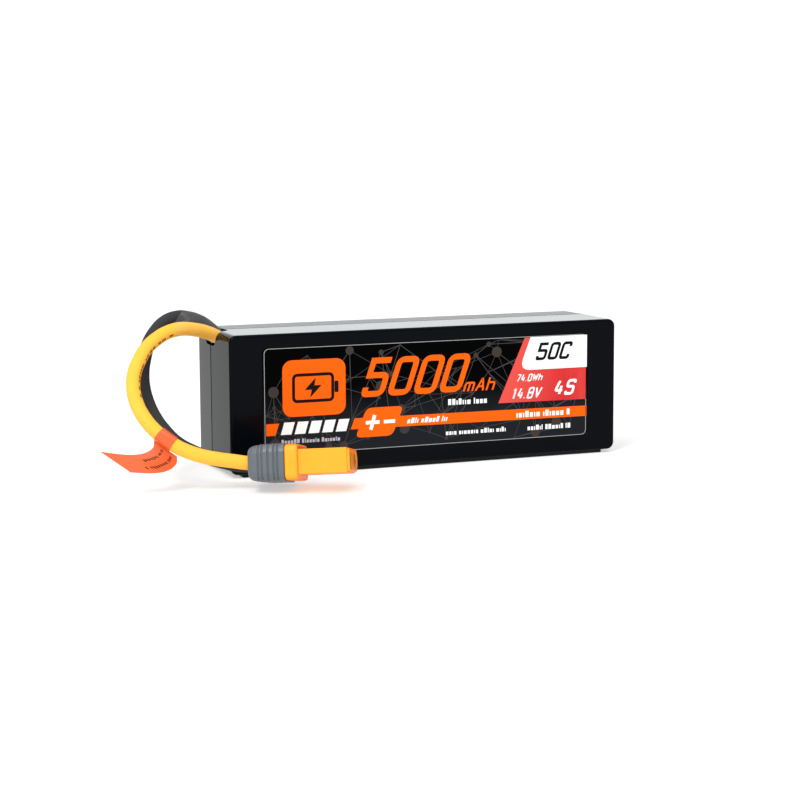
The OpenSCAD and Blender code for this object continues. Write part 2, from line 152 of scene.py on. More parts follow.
class Graph:
    """The node tree of one material, with a Principled shader at its end."""

    def __init__(self, name: str) -> None:
        """Makes an empty material of the given name."""
        self.material = bpy.data.materials.new(name)
        self.material.use_nodes = True
        self.tree = self.material.node_tree
        self.tree.nodes.clear()
        self.shader = self.node("ShaderNodeBsdfPrincipled")
        self.node("ShaderNodeOutputMaterial", inputs={"Surface": self.shader.outputs[0]})
        spot = self.node("ShaderNodeTexCoord").outputs["Object"]
        self.place = self.node(
            "ShaderNodeVectorMath", {"operation": "SCALE"}, {0: spot, "Scale": 1 / MM}
        ).outputs[0]

    def node(
        self,
        kind: str,
        settings: dict[str, Any] | None = None,
        inputs: dict[str | int, Any] | None = None,
    ) -> bpy.types.Node:
        """Adds a node.

        Args:
            kind: the node's type.
            settings: its properties, set first; "stops" is a ramp's list of place and colour.
            inputs: numbers, colours, sockets or signals by the name or number of the input.

        Returns:
            The new node.
        """
        made = self.tree.nodes.new(kind)
        for key, item in (settings or {}).items():
            if key == "stops":
                ramp = made.color_ramp.elements
                while len(ramp) < len(item):
                    ramp.new(0.5)
                for stop, (place, colour) in zip(ramp, item):
                    stop.position = place
                    stop.color = (*colour, 1.0)
            else:
                setattr(made, key, item)
        for key, item in (inputs or {}).items():
            self.feed(made.inputs[key], item)
        return made

    def feed(self, socket: bpy.types.NodeSocket, item: Any) -> None:
        """Links a signal or an output to an input, or sets the input's own value.

        Args:
            socket: the input.
            item: a signal, an output socket, a number, a vector or a colour.
        """
        if isinstance(item, Signal):
            item = item.socket
        if isinstance(item, bpy.types.NodeSocket):
            self.tree.links.new(item, socket)
        elif socket.type == "RGBA":
            socket.default_value = (*item, 1.0)
        else:
            socket.default_value = item

    def set(self, **inputs: Any) -> None:
        """Feeds inputs of the shader, whose names are given with _ for a space."""
        for key, item in inputs.items():
            self.feed(self.shader.inputs[key.replace("_", " ")], item)

    def axis(self, letter: str) -> Signal:
        """Place along X, Y or Z, in millimetres."""
        parts = self.node("ShaderNodeSeparateXYZ", inputs={0: self.place})
        return Signal(self.tree, parts.outputs[letter])

    def noise(
        self, size: float, detail: float = 2.0, stretch: Colour = (1.0, 1.0, 1.0), warp: float = 0.0
    ) -> Signal:
        """Soft random values from 0 to 1.

        Args:
            size: size of the features.
            detail: how many finer layers are added.
            stretch: factors on the three axes; a small one draws the features out along it.
            warp: how much the pattern is distorted.

        Returns:
            The noise.
        """
        spot = self.node(
            "ShaderNodeVectorMath", {"operation": "MULTIPLY"}, {0: self.place, 1: stretch}
        ).outputs[0]
        made = self.node(
            "ShaderNodeTexNoise",
            inputs={"Vector": spot, "Scale": 1 / size, "Detail": detail, "Distortion": warp},
        )
        return Signal(self.tree, made.outputs["Fac"])

    def cells(self, size: float, feature: str = "F1") -> Signal:
        """Distance to the middle, or with DISTANCE_TO_EDGE to the edge, of irregular cells."""
        made = self.node(
            "ShaderNodeTexVoronoi", {"feature": feature}, {"Vector": self.place, "Scale": 1 / size}
        )
        return Signal(self.tree, made.outputs["Distance"])

    def ramp(self, share: Signal, low: float, high: float) -> Signal:
        """A smooth step of a signal, from 0 at low to 1 at high."""
        made = self.node(
            "ShaderNodeMapRange",
            {"interpolation_type": "SMOOTHSTEP"},
            {"Value": share, "From Min": low, "From Max": high},
        )
        return Signal(self.tree, made.outputs[0])

    def edge_on(self, low: float, high: float) -> Signal:
        """How far the surface is turned away from the eye, from 0 at low to 1 at high."""
        made = self.node("ShaderNodeLayerWeight", inputs={"Blend": 0.5})
        return self.ramp(Signal(self.tree, made.outputs["Facing"]), low, high)

    def mix(self, share: "Signal | float", first: Any, second: Any) -> bpy.types.NodeSocket:
        """Mixes two colours; share 0 gives the first."""
        made = self.node("ShaderNodeMix", {"data_type": "RGBA"}, {0: share, 6: first, 7: second})
        return made.outputs[2]

    def bump(self, height: Signal, depth: float) -> None:
        """Gives the shader a bump: height from 0 to 1 stands for a depth in millimetres."""
        made = self.node("ShaderNodeBump", inputs={"Height": height, "Distance": depth * MM})
        self.set(Normal=made.outputs[0])


@dataclass(frozen=True)
class Finish:
    """A finish: its name, main colour and roughness."""

    name: str
    colour: Colour
    roughness: float

    def material(self) -> bpy.types.Material:
        """The finish as a material, made at its first use unless the frame holds one of its name."""
        found = bpy.data.materials.get(self.name)
        if found is None:
            graph = Graph(self.name)
            self.paint(graph)
            found = graph.material
        return found

    def paint(self, graph: Graph) -> None:
        """Fills in the material's nodes."""
        graph.set(Base_Color=self.colour, Roughness=self.roughness)


@dataclass(frozen=True)
class MouldedPlastic(Finish):
    """Moulded plastic with faint flow marks, fine grain and handling scratches; a side colour, where given,
    is painted shade on faces turned away from the eye.
    """

    grain: float = 0.12
    grain_depth: float = 0.002
    scratch: float = 0.12
    shine: float = 0.5
    # side: colour painted on faces turned away from the eye, as painted shade
    side: Colour | None = None

    def paint(self, graph: Graph) -> None:
        """Tone with its painted shade, roughness and grain of the moulding."""
        flow = graph.noise(14.0, 3.0, (1.0, 1.0, 0.4), 0.6)
        fine = graph.noise(self.grain, 2.0)
        lines = graph.noise(0.35, 1.0, (0.04, 1.0, 1.0)) > 0.7
        worn = lines * graph.ramp(graph.noise(9.0, 2.0), 0.45, 0.7)
        tone = graph.mix(flow, self.colour, tuple(min(1.0, part * 1.2 + 0.002) for part in self.colour))
        graph.set(
            # Painted shade: the side colour takes over where the surface turns away from the eye.
            Base_Color=graph.mix(graph.edge_on(0.2, 0.85), tone, self.side) if self.side else tone,
            Roughness=flow * 0.06 + worn * self.scratch + (self.roughness - 0.03),
            Specular_IOR_Level=self.shine,
        )
        graph.bump(fine - worn * 0.6 + flow * 0.8, self.grain_depth)


@dataclass(frozen=True)
class GlossPlastic(Finish):
    """Polished black plastic that mirrors its surroundings at a low angle only."""

    facing: float = 0.65
    grazing: float = 1.0

    def paint(self, graph: Graph) -> None:
        """Depth of the black, the gloss by angle and the faint waves of the mould."""
        flow = graph.noise(14.0, 3.0, (1.0, 1.0, 0.4), 0.6)
        lines = graph.noise(0.35, 1.0, (0.04, 1.0, 1.0)) > 0.74
        worn = lines * graph.ramp(graph.noise(9.0, 2.0), 0.5, 0.7)
        graph.set(
            Base_Color=graph.mix(flow, self.colour, tuple(part * 1.4 for part in self.colour)),
            Roughness=flow * 0.03 + worn * 0.05 + self.roughness,
            Specular_IOR_Level=0.05,
            Coat_Weight=graph.edge_on(self.facing, self.grazing),
            Coat_Roughness=0.05,
            Coat_Tint=(0.88, 0.99, 1.0),
        )
        graph.bump(flow + worn * 0.1, 0.0006)


@dataclass(frozen=True)
class Ink(Finish):
    """Printed ink under a clear laminate, shaded from a low edge to a high edge."""

    low_colour: Colour | None = None
    low: float = 0.0
    high: float = 1.0
    shine: float = 0.06

    def paint(self, graph: Graph) -> None:
        """Ink tone, its fine print dots and the laminate's gentle waves."""
        dots = graph.noise(0.3, 1.0)
        mottle = graph.noise(6.0, 2.0)
        tone: Any = self.colour
        if self.low_colour is not None:
            share = graph.ramp(graph.axis("Z") + mottle * 5.0, self.low, self.high)
            tone = graph.mix(share, self.low_colour, self.colour)
        deep = tuple(part * 0.82 for part in self.colour)
        graph.set(
            Base_Color=graph.mix(dots * 0.25, tone, deep),
            Roughness=mottle * 0.08 + self.roughness,
            Specular_IOR_Level=self.shine,
        )
        graph.bump(mottle + dots * 0.1, 0.004)


@dataclass(frozen=True)
class RayedInk(Finish):
    """Printed ink that pales towards one corner, crossed by faint straight rays."""

    pale: Colour = (0.72, 0.08, 0.064)
    from_x: float = 28.0
    to_x: float = 58.0

    def paint(self, graph: Graph) -> None:
        """The shade across the panel and its rays."""
        slope = graph.axis("X") - graph.axis("Z") * 0.25
        shade = graph.ramp(slope, self.from_x - 8.0, self.to_x - 10.0)
        rays = graph.noise(2.6, 1.0, (0.7, 1.0, 0.12)) * 0.5
        corner = graph.ramp(graph.axis("X") + graph.noise(5.0) * 8.0, 53.0, 63.0)
        tone = graph.mix(shade, self.pale, self.colour)
        graph.set(
            Base_Color=graph.mix(corner * 0.4 + (rays > 0.3) * 0.1, tone, self.pale),
            Roughness=self.roughness,
            Specular_IOR_Level=0.06,
        )
        graph.bump(rays, 0.003)


@dataclass(frozen=True)
class Silicone(Finish):
    """Soft silicone rubber with a faint bloom, fine dust and painted shade where it turns away from the eye.
    """

    pale: Colour = (1.0, 1.0, 1.0)
    # side: colour painted where the rubber turns away from the eye, as painted shade
    side: Colour = (0.0, 0.0, 0.0)
    shine: float = 0.3
    skin_depth: float = 0.006

    def paint(self, graph: Graph) -> None:
        """Tone of the rubber, with painted shade deepening it where it turns away, its bloom and its drawn
        skin.
        """
        bloom = graph.noise(5.0, 3.0)
        skin = graph.noise(0.5, 2.0)
        specks = graph.ramp(graph.cells(1.7), 0.09, 0.04)
        graph.set(
            # Painted shade: the side colour takes over where the surface turns away from the eye.
            Base_Color=graph.mix(
                graph.edge_on(0.15, 0.75),
                graph.mix(bloom * 0.3 + specks * 0.15, self.colour, self.pale),
                self.side,
            ),
            Roughness=bloom * 0.1 + specks * 0.2 + self.roughness,
            Specular_IOR_Level=self.shine,
        )
        graph.bump(skin + bloom, self.skin_depth)


@dataclass(frozen=True)
class ClearFilm(Finish):
    """Thin clear shrink film with fine wrinkles, whose folds are also painted as pale streaks that stand in
    for highlights.
    """

    body: float = 0.01

    def paint(self, graph: Graph) -> None:
        """How much of the film shows, its painted glints and its wrinkles."""
        wrinkle = graph.noise(1.6, 3.0, (0.5, 1.0, 1.6), 1.2)
        folds_and_painted_glints = graph.ramp(graph.noise(2.4, 1.0, (1.0, 0.5, 0.5), 2.0), 0.58, 0.66)
        rim = graph.node("ShaderNodeLayerWeight", inputs={"Blend": 0.35}).outputs["Facing"]
        edge = Signal(graph.tree, rim) ** 2.0
        graph.set(
            Base_Color=self.colour,
            Roughness=wrinkle * 0.1 + self.roughness,
            # The folds make the pale film more opaque in thin streaks: painted highlights over the leads,
            # besides their bump.
            Alpha=edge * 0.07 + folds_and_painted_glints * 0.03 + self.body,
            Specular_IOR_Level=0.7,
        )
        graph.bump(wrinkle + folds_and_painted_glints * 0.5, 0.08)


@dataclass(frozen=True)
class Vinyl(Finish):
    """Glossy printed vinyl with stretch lines."""

    deep: Colour = (0.5, 0.03, 0.01)
    shine: float = 0.12

    def paint(self, graph: Graph) -> None:
        """Tone, gloss and stretch lines."""
        drawn = graph.noise(2.0, 3.0, (0.4, 1.0, 1.0), 0.8)
        graph.set(
            Base_Color=graph.mix(drawn * 0.5, self.colour, self.deep),
            Roughness=drawn * 0.1 + self.roughness,
            Specular_IOR_Level=self.shine,
        )
        graph.bump(drawn, 0.02)


@dataclass(frozen=True)
class PouchFoil(Finish):
    """Laminated pouch foil: satin, lightly crumpled, with a fine embossed skin."""

    def paint(self, graph: Graph) -> None:
        """Crumples, emboss and tone of the foil."""
        crumple = graph.cells(7.0, "DISTANCE_TO_EDGE")
        soft = graph.noise(4.0, 3.0, warp=0.8)
        emboss = graph.cells(0.5)
        graph.set(
            Base_Color=graph.mix(soft, self.colour, tuple(part * 0.75 for part in self.colour)),
            Roughness=soft * 0.18 + self.roughness,
            Metallic=1.0,
        )
        graph.bump(soft + crumple * 0.3 + emboss * 0.06, 0.25)


@dataclass(frozen=True)
class Foam(Finish):
    """Open-pored packing foam."""

    def paint(self, graph: Graph) -> None:
        """Pores and tone of the foam."""
        pores = graph.cells(0.6)
        tone = graph.mix(pores, tuple(part * 0.4 for part in self.colour), self.colour)
        graph.set(Base_Color=tone, Roughness=self.roughness, Sheen_Weight=0.2)
        graph.bump(pores, 0.25)


@dataclass(frozen=True)
class Metal(Finish):
    """Rolled or plated metal with a brushed direction and slight tarnish."""

    tarnish: Colour = (0.4, 0.4, 0.4)
    brush: Colour = (0.1, 1.0, 1.0)

    def paint(self, graph: Graph) -> None:
        """Brush lines and tarnish."""
        lines = graph.noise(0.25, 2.0, self.brush)
        stain = graph.ramp(graph.noise(3.0, 3.0), 0.5, 0.8)
        graph.set(
            Base_Color=graph.mix(stain * 0.5, self.colour, self.tarnish),
            Roughness=lines * 0.15 + stain * 0.15 + self.roughness,
            Metallic=1.0,
        )
        graph.bump(lines, 0.01)


@dataclass(frozen=True)
class CircuitBoard(Finish):
    """Lacquered board with paler tracks under the lacquer."""

    track: Colour = (0.02, 0.16, 0.07)

    def paint(self, graph: Graph) -> None:
        """Tracks, weave of the laminate and lacquer gloss."""
        across = abs(graph.axis("Y").repeated(2.4) - 1.2) < 0.35
        along = abs(graph.axis("Z").repeated(5.2) - 2.6) < 0.4
        patch = graph.noise(7.0, 0.0) > 0.5
        tracks = across * patch + along * (1.0 - patch)
        weave = graph.noise(0.4, 1.0, (1.0, 0.3, 1.0))
        graph.set(
            Base_Color=graph.mix(tracks, self.colour, self.track),
            Roughness=weave * 0.1 + self.roughness,
            Coat_Weight=0.4,
        )
        graph.bump(tracks + weave * 0.2, 0.03)


@dataclass(frozen=True)
class FibreCard(Finish):
    """Pressed fibre card with short pale fibres."""

    def paint(self, graph: Graph) -> None:
        """Fibres and tone of the card."""
        fibres = graph.noise(0.5, 3.0, (1.0, 0.2, 1.0), 1.5)
        pale = tuple(min(1.0, part * 1.3) for part in self.colour)
        graph.set(Base_Color=graph.mix(fibres, self.colour, pale), Roughness=self.roughness)
        graph.bump(fibres, 0.04)


@dataclass(frozen=True)
class StudioWhite(Finish):
    """Matt white board of the studio floor, lit from below as well."""

    glow: float = 0.46

    def paint(self, graph: Graph) -> None:
        """Very faint tooth of the board."""
        tooth = graph.noise(1.5, 2.0)
        graph.set(
            Base_Color=graph.mix(tooth * 0.1, self.colour, tuple(part * 0.9 for part in self.colour)),
            Roughness=self.roughness,
            Specular_IOR_Level=0.0,
            Emission_Color=(1.0, 0.985, 0.975),
            Emission_Strength=self.glow,
        )


BLACK_CASE = GlossPlastic("black_case_plastic", (0.001, 0.0016, 0.0026), 0.12)
PAD_RUBBER = MouldedPlastic("pad_rubber", (0.004, 0.004, 0.005), 0.6, 0.3, 0.02, shine=0.2)
FILM_GROUND = Ink("film_ground", (0.0002, 0.0002, 0.0004), 0.2, (0.014, 0.016, 0.02), 16.0, 32.0, 0.02)
# Painted highlight: the pale line round the label stands in for the light caught at the edge of the label's
# recess.
RIM_HIGHLIGHT_INK = Ink("painted_rim_highlight", (0.4, 0.42, 0.4), 0.25)
NETWORK_LINE = Ink("network_grey", (0.055, 0.052, 0.05), 0.3)
NETWORK_DOT = Ink("network_dot", (0.045, 0.036, 0.03), 0.3)
ORANGE_INK = Ink("orange_ink", (0.95, 0.12, 0.002), 0.3)
WHITE_INK = Ink("white_ink", (0.92, 0.94, 0.93), 0.3)
BLACK_INK = Ink("black_ink", (0.004, 0.004, 0.005), 0.3)
GREY_INK = Ink("grey_ink", (0.45, 0.45, 0.46), 0.3)
RED_INK = RayedInk("red_ink", (0.58, 0.024, 0.028), 0.3)
# Each lead's side colour is painted shade: deeper orange, or deeper black, where the rubber turns away from
# the eye.
YELLOW_SILICONE = Silicone(
    "yellow_silicone", (0.9, 0.22, 0.009), 0.2, pale=(0.92, 0.28, 0.022), side=(0.78, 0.12, 0.002), shine=0.5
)
BLACK_SILICONE = Silicone(
    "black_silicone", (0.002, 0.002, 0.0025), 0.2, pale=(0.004, 0.004, 0.005), side=(0.001, 0.001, 0.001),
    shine=0.14, skin_depth=0.001,
)
PRINT_ON_LEAD = Ink("lead_print_ink", (0.36, 0.12, 0.014), 0.5)
PRINT_ON_TAG = Ink("tag_print_ink", (0.05, 0.012, 0.008), 0.5)
CLEAR_FILM = ClearFilm("clear_sleeve_film", (0.85, 0.88, 0.9), 0.08)
FILM_EDGE = ClearFilm("clear_sleeve_edge", (0.8, 0.83, 0.85), 0.2, 0.5)
TAG_VINYL = Vinyl("tag_vinyl", (0.66, 0.038, 0.004), 0.2, (0.5, 0.018, 0.002), 0.008)
TAG_BACK = Vinyl("tag_backing", (0.75, 0.72, 0.7), 0.3, (0.6, 0.55, 0.52))
BOOT_PLASTIC = MouldedPlastic("grey_boot_plastic", (0.085, 0.1, 0.115), 0.4, 0.25, 0.008, shine=0.5)
# The housing's side colour is painted shade: a deeper orange where its faces turn away from the eye.
HOUSING_PLASTIC = MouldedPlastic(
    "amber_housing_plastic", (0.88, 0.35, 0.028), 0.32, 0.2, 0.004, shine=0.08, side=(0.88, 0.2, 0.005)
)
FOIL = PouchFoil("cell_foil", (0.62, 0.63, 0.65), 0.32)
PACKING_FOAM = Foam("packing_foam", (0.16, 0.16, 0.17), 0.9)
PAD_FOAM = Foam("pad_foam", (0.75, 0.73, 0.68), 0.9)
AMBER_TAPE = Vinyl("amber_tape", (0.65, 0.27, 0.02), 0.18, (0.5, 0.18, 0.01))
ALUMINIUM = Metal("bare_aluminium", (0.85, 0.85, 0.86), 0.28, (0.6, 0.6, 0.6))
NICKEL = Metal("nickel_strip", (0.62, 0.59, 0.54), 0.26, (0.42, 0.38, 0.32))
COPPER = Metal("bare_copper", (0.85, 0.38, 0.2), 0.3, (0.45, 0.18, 0.1), (1.0, 1.0, 0.1))
GOLD = Metal("gold_plate", (0.95, 0.66, 0.24), 0.2, (0.8, 0.5, 0.2))
SOLDER = Metal("solder", (0.66, 0.67, 0.68), 0.3, (0.4, 0.4, 0.42), (1.0, 1.0, 1.0))
BOARD = CircuitBoard("circuit_board", (0.006, 0.065, 0.03), 0.3)
CHIP = MouldedPlastic("chip_plastic", (0.012, 0.012, 0.013), 0.5, 0.15, 0.01, shine=0.4)
CARD = FibreCard("fibre_card", (0.52, 0.42, 0.27), 0.8)
FLOOR_WHITE = StudioWhite("studio_floor", (0.6, 0.6, 0.6), 0.8)


# Meshes


class Mesh:
    """Points and faces in millimetres, which become one object in metres."""

    def __init__(self) -> None:
        """Starts with nothing."""
        self.points: list[Vector] = []
        self.faces: list[list[int]] = []
        self.groups: list[int] = []

    def add(self, points: Iterable[Vector]) -> list[int]:
        """Adds points and gives their numbers."""
        first = len(self.points)
        self.points.extend(Vector(point) for point in points)
        return list(range(first, len(self.points)))

    def face(self, numbers: Sequence[int], group: int = 0) -> None:
        """Adds one face, which takes the material of its group."""
        self.faces.append(list(numbers))
        self.groups.append(group)

    def bridge(self, near: Sequence[int], far: Sequence[int], closed: bool = True, group: int = 0) -> None:
        """Joins two equal rows of points with four-sided faces.

        Args:
            near: the first row.
            far: the second row.
            closed: whether the rows are rings.
            group: the material's number.
        """
        count = len(near)
        for i in range(count if closed else count - 1):
            j = (i + 1) % count
            self.face((near[i], near[j], far[j], far[i]), group)

    def loft(self, rings: Sequence[Sequence[Vector]], capped: bool = True) -> None:
        """Skins a stack of rings of equal length, with flat ends where capped."""
        rows = [self.add(ring) for ring in rings]
        for near, far in zip(rows, rows[1:]):
            self.bridge(near, far)
        if capped:
            self.face(rows[0][::-1])
            self.face(rows[-1])

    def prism(self, outline: Sequence[Point], place: Place, low: float, high: float) -> None:
        """Makes a plate of an outline.

        Args:
            outline: its corners as two coordinates.
            place: gives the point for two coordinates and a height.
            low: height of the underside.
            high: height of the upper side.
        """
        self.loft([[place(u, v, height) for u, v in outline] for height in (low, high)])

    def ribbon(
        self,
        line: Sequence[Point],
        width: float,
        closed: bool,
        place: Place,
        low: float,
        high: float,
    ) -> None:
        """Makes a raised stroke of even width along a line.

        Args:
            line: its points as two coordinates.
            width: the stroke's width.
            closed: whether the line ends where it starts.
            place: gives the point for two coordinates and a height.
            low: height of the underside.
            high: height of the upper side.
        """
        left, right = offset_line(line, width / 2, closed)
        rows = [
            self.add(place(u, v, height) for u, v in side)
            for side, height in ((left, high), (right, high), (right, low), (left, low))
        ]
        for near, far in zip(rows, rows[1:] + rows[:1]):
            self.bridge(near, far, closed)
        if not closed:
            self.face([row[0] for row in rows])
            self.face([row[-1] for row in rows[::-1]])

    def build(self, name: str, finishes: Sequence[Finish], sharp: float = 35.0) -> bpy.types.Object:
        """Makes the object.

        Args:
            name: the piece's name.
            finishes: one finish for each group of faces.
            sharp: angle in degrees above which an edge stays sharp.

        Returns:
            The object, linked to the scene and with its normals outward.
        """
        made = bpy.data.meshes.new(name)
        made.from_pydata([point * MM for point in self.points], [], self.faces)
        for finish in finishes:
            made.materials.append(finish.material())
        made.polygons.foreach_set("material_index", self.groups)
        piece = bpy.data.objects.new(name, made)
        bpy.context.scene.collection.objects.link(piece)
        outward(made)
        smooth(made, sharp)
        return piece


def outward(made: bpy.types.Mesh) -> None:
    """Turns every face of a mesh outward."""
    work = bmesh.new()
    work.from_mesh(made)
    bmesh.ops.recalc_face_normals(work, faces=work.faces)
    work.to_mesh(made)
    work.free()


def smooth(made: bpy.types.Mesh, sharp: float) -> None:
    """Shades a mesh smooth, apart from edges above an angle in degrees."""
    made.polygons.foreach_set("use_smooth", [True] * len(made.polygons))
    made.set_sharp_from_angle(angle=math.radians(sharp))


def flatten_normals(piece: bpy.types.Object) -> None:
    """Lets large flat faces keep their own normals beside small rounds."""
    weighted = piece.modifiers.new("flat_faces", "WEIGHTED_NORMAL")
    weighted.keep_sharp = True
    weighted.weight = 90


def applied(piece: bpy.types.Object) -> bpy.types.Object:
    """Applies a piece's modifiers to its mesh and gives the piece back."""
    seen = piece.evaluated_get(bpy.context.evaluated_depsgraph_get())
    made = bpy.data.meshes.new_from_object(seen)
    piece.modifiers.clear()
    piece.data = made
    return piece


def cut_away(piece: bpy.types.Object, tools: Sequence[bpy.types.Object], sharp: float = 35.0) -> None:
    """Takes the tools' shapes out of a piece and removes the tools.

    Args:
        piece: the piece that is cut.
        tools: the shapes that are taken away.
        sharp: angle in degrees above which an edge stays sharp.
    """
    for tool in tools:
        cutter = piece.modifiers.new("cut", "BOOLEAN")
        cutter.operation = "DIFFERENCE"
        cutter.solver = "EXACT"
        cutter.object = tool
        applied(piece)
        bpy.data.objects.remove(tool)
    smooth(piece.data, sharp)


def offset_line(line: Sequence[Point], reach: float, closed: bool) -> tuple[list[Point], list[Point]]:
    """Gives the two lines beside a line.

    Args:
        line: the points of the line.
        reach: distance from the line.
        closed: whether the line ends where it starts.

    Returns:
        The points on the left and on the right.
    """
    count = len(line)
    left, right = [], []
    for i, (u, v) in enumerate(line):
        before = line[i - 1] if closed or i else None
        after = line[(i + 1) % count] if closed or i < count - 1 else None
        ways = [
            Vector((b[0] - a[0], b[1] - a[1])).normalized()
            for a, b in ((before, (u, v)), ((u, v), after))
            if a is not None and b is not None
        ]
        normals = [Vector((-way.y, way.x)) for way in ways]
        middle = sum(normals, Vector((0.0, 0.0))).normalized()
        out = middle * (reach / max(0.3, middle.dot(normals[0])))
        left.append((u + out.x, v + out.y))
        right.append((u - out.x, v - out.y))
    return left, right


def rounded(line: Sequence[Point], radius: float, closed: bool, steps: int = 4) -> list[Point]:
    """Rounds the corners of a line, apart from those that have another point close by.

    Args:
        line: the points of the line.
        radius: radius of a square corner; shorter sides take a smaller one.
        closed: whether the line ends where it starts.
        steps: how many pieces a round has.

    Returns:
        The new points.
    """
    made: list[Point] = []
    count = len(line)
    for i, point in enumerate(line):
        if not closed and i in (0, count - 1):
            made.append(tuple(point))
            continue
        corner = Vector(point)
        before = Vector(line[i - 1]) - corner
        after = Vector(line[(i + 1) % count]) - corner
        reach = min(radius, before.length * 0.49, after.length * 0.49)
        if reach < radius * 0.4:
            made.append(tuple(point))
            continue
        start = corner + before.normalized() * reach
        end = corner + after.normalized() * reach
        for k in range(steps + 1):
            t = k / steps
            spot = start * (1 - t) ** 2 + corner * (2 * t * (1 - t)) + end * t**2
            made.append((spot.x, spot.y))
    return made


class Corner(Enum):
    """How a corner of an outline is finished."""

    ROUND = "round"
    CUT = "cut"


def four_cornered(
    width: float, height: float, sizes: Sequence[float], kinds: Sequence[Corner], steps: int = 6
) -> list[Point]:
    """Outline of a rectangle round the origin, with the same number of points at each corner.

    Args:
        width: size across.
        height: size up.
        sizes: size of the four corners, anticlockwise from the lower right.
        kinds: the finish of the four corners.
        steps: how many pieces each corner has.

    Returns:
        The points, anticlockwise.
    """
    made = []
    for i, ((right, up), size, kind) in enumerate(zip(((1, -1), (1, 1), (-1, 1), (-1, -1)), sizes, kinds)):
        middle = (right * (width / 2 - size), up * (height / 2 - size))
        for k in range(steps + 1):
            turn = math.radians(90 * (i - 1) + 90 * k / steps)
            reach = size
            if kind is Corner.CUT:
                reach = size / (abs(math.cos(turn)) + abs(math.sin(turn)))
            made.append((middle[0] + reach * math.cos(turn), middle[1] + reach * math.sin(turn)))
    return made


def round_rect(width: float, height: float, radius: float, steps: int = 6) -> list[Point]:
    """Outline of a rectangle with four equal rounds."""
    return four_cornered(width, height, [radius] * 4, [Corner.ROUND] * 4, steps)


def curve_through(points: Sequence[Vector], steps: int) -> list[Vector]:
    """Points on a smooth curve through the given points, with some steps to each gap."""
    made = []
    last = len(points) - 1
    for i in range(last):
        p0, p1, p2, p3 = points[max(i - 1, 0)], points[i], points[i + 1], points[min(i + 2, last)]
        for k in range(steps):
            t = k / steps
            made.append(
                0.5 * (2 * p1 + (p2 - p0) * t + (2 * p0 - 5 * p1 + 4 * p2 - p3) * t**2
                       + (3 * p1 - p0 - 3 * p2 + p3) * t**3)
            )
    made.append(Vector(points[last]))
    return made


def heading(path: Sequence[Vector], i: int) -> Vector:
    """Direction of a path at its point i."""
    return (path[min(i + 1, len(path) - 1)] - path[max(i - 1, 0)]).normalized()


def ring_round(path: Sequence[Vector], i: int, radius: float, sides: int) -> list[Vector]:
    """Ring of points round a path at its point i."""
    way = heading(path, i)
    across = way.cross(Vector((0, 1, 0))).normalized()
    over = across.cross(way)
    turns = (2 * math.pi * k / sides for k in range(sides))
    return [path[i] + (across * math.cos(turn) + over * math.sin(turn)) * radius for turn in turns]


def path_point(path: Sequence[Vector], at: float) -> Vector:
    """Point of a path at a place that may lie between two of its points."""
    i = min(int(at), len(path) - 2)
    return path[i].lerp(path[i + 1], at - i)


def path_length(path: Sequence[Vector]) -> float:
    """Length of a path."""
    return sum((b - a).length for a, b in zip(path, path[1:]))


def put(piece: bpy.types.Object, slot: str, *nodes: str) -> bpy.types.Object:
    """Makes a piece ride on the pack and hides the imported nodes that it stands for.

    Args:
        piece: the piece.
        slot: the record's material slot; not used.
        nodes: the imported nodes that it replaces.

    Returns:
        The piece.
    """
    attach(piece, ROOT)
    if nodes:
        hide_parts(*nodes)
    log.info("made %s", piece.name)
    return piece


# Sub-assemblies


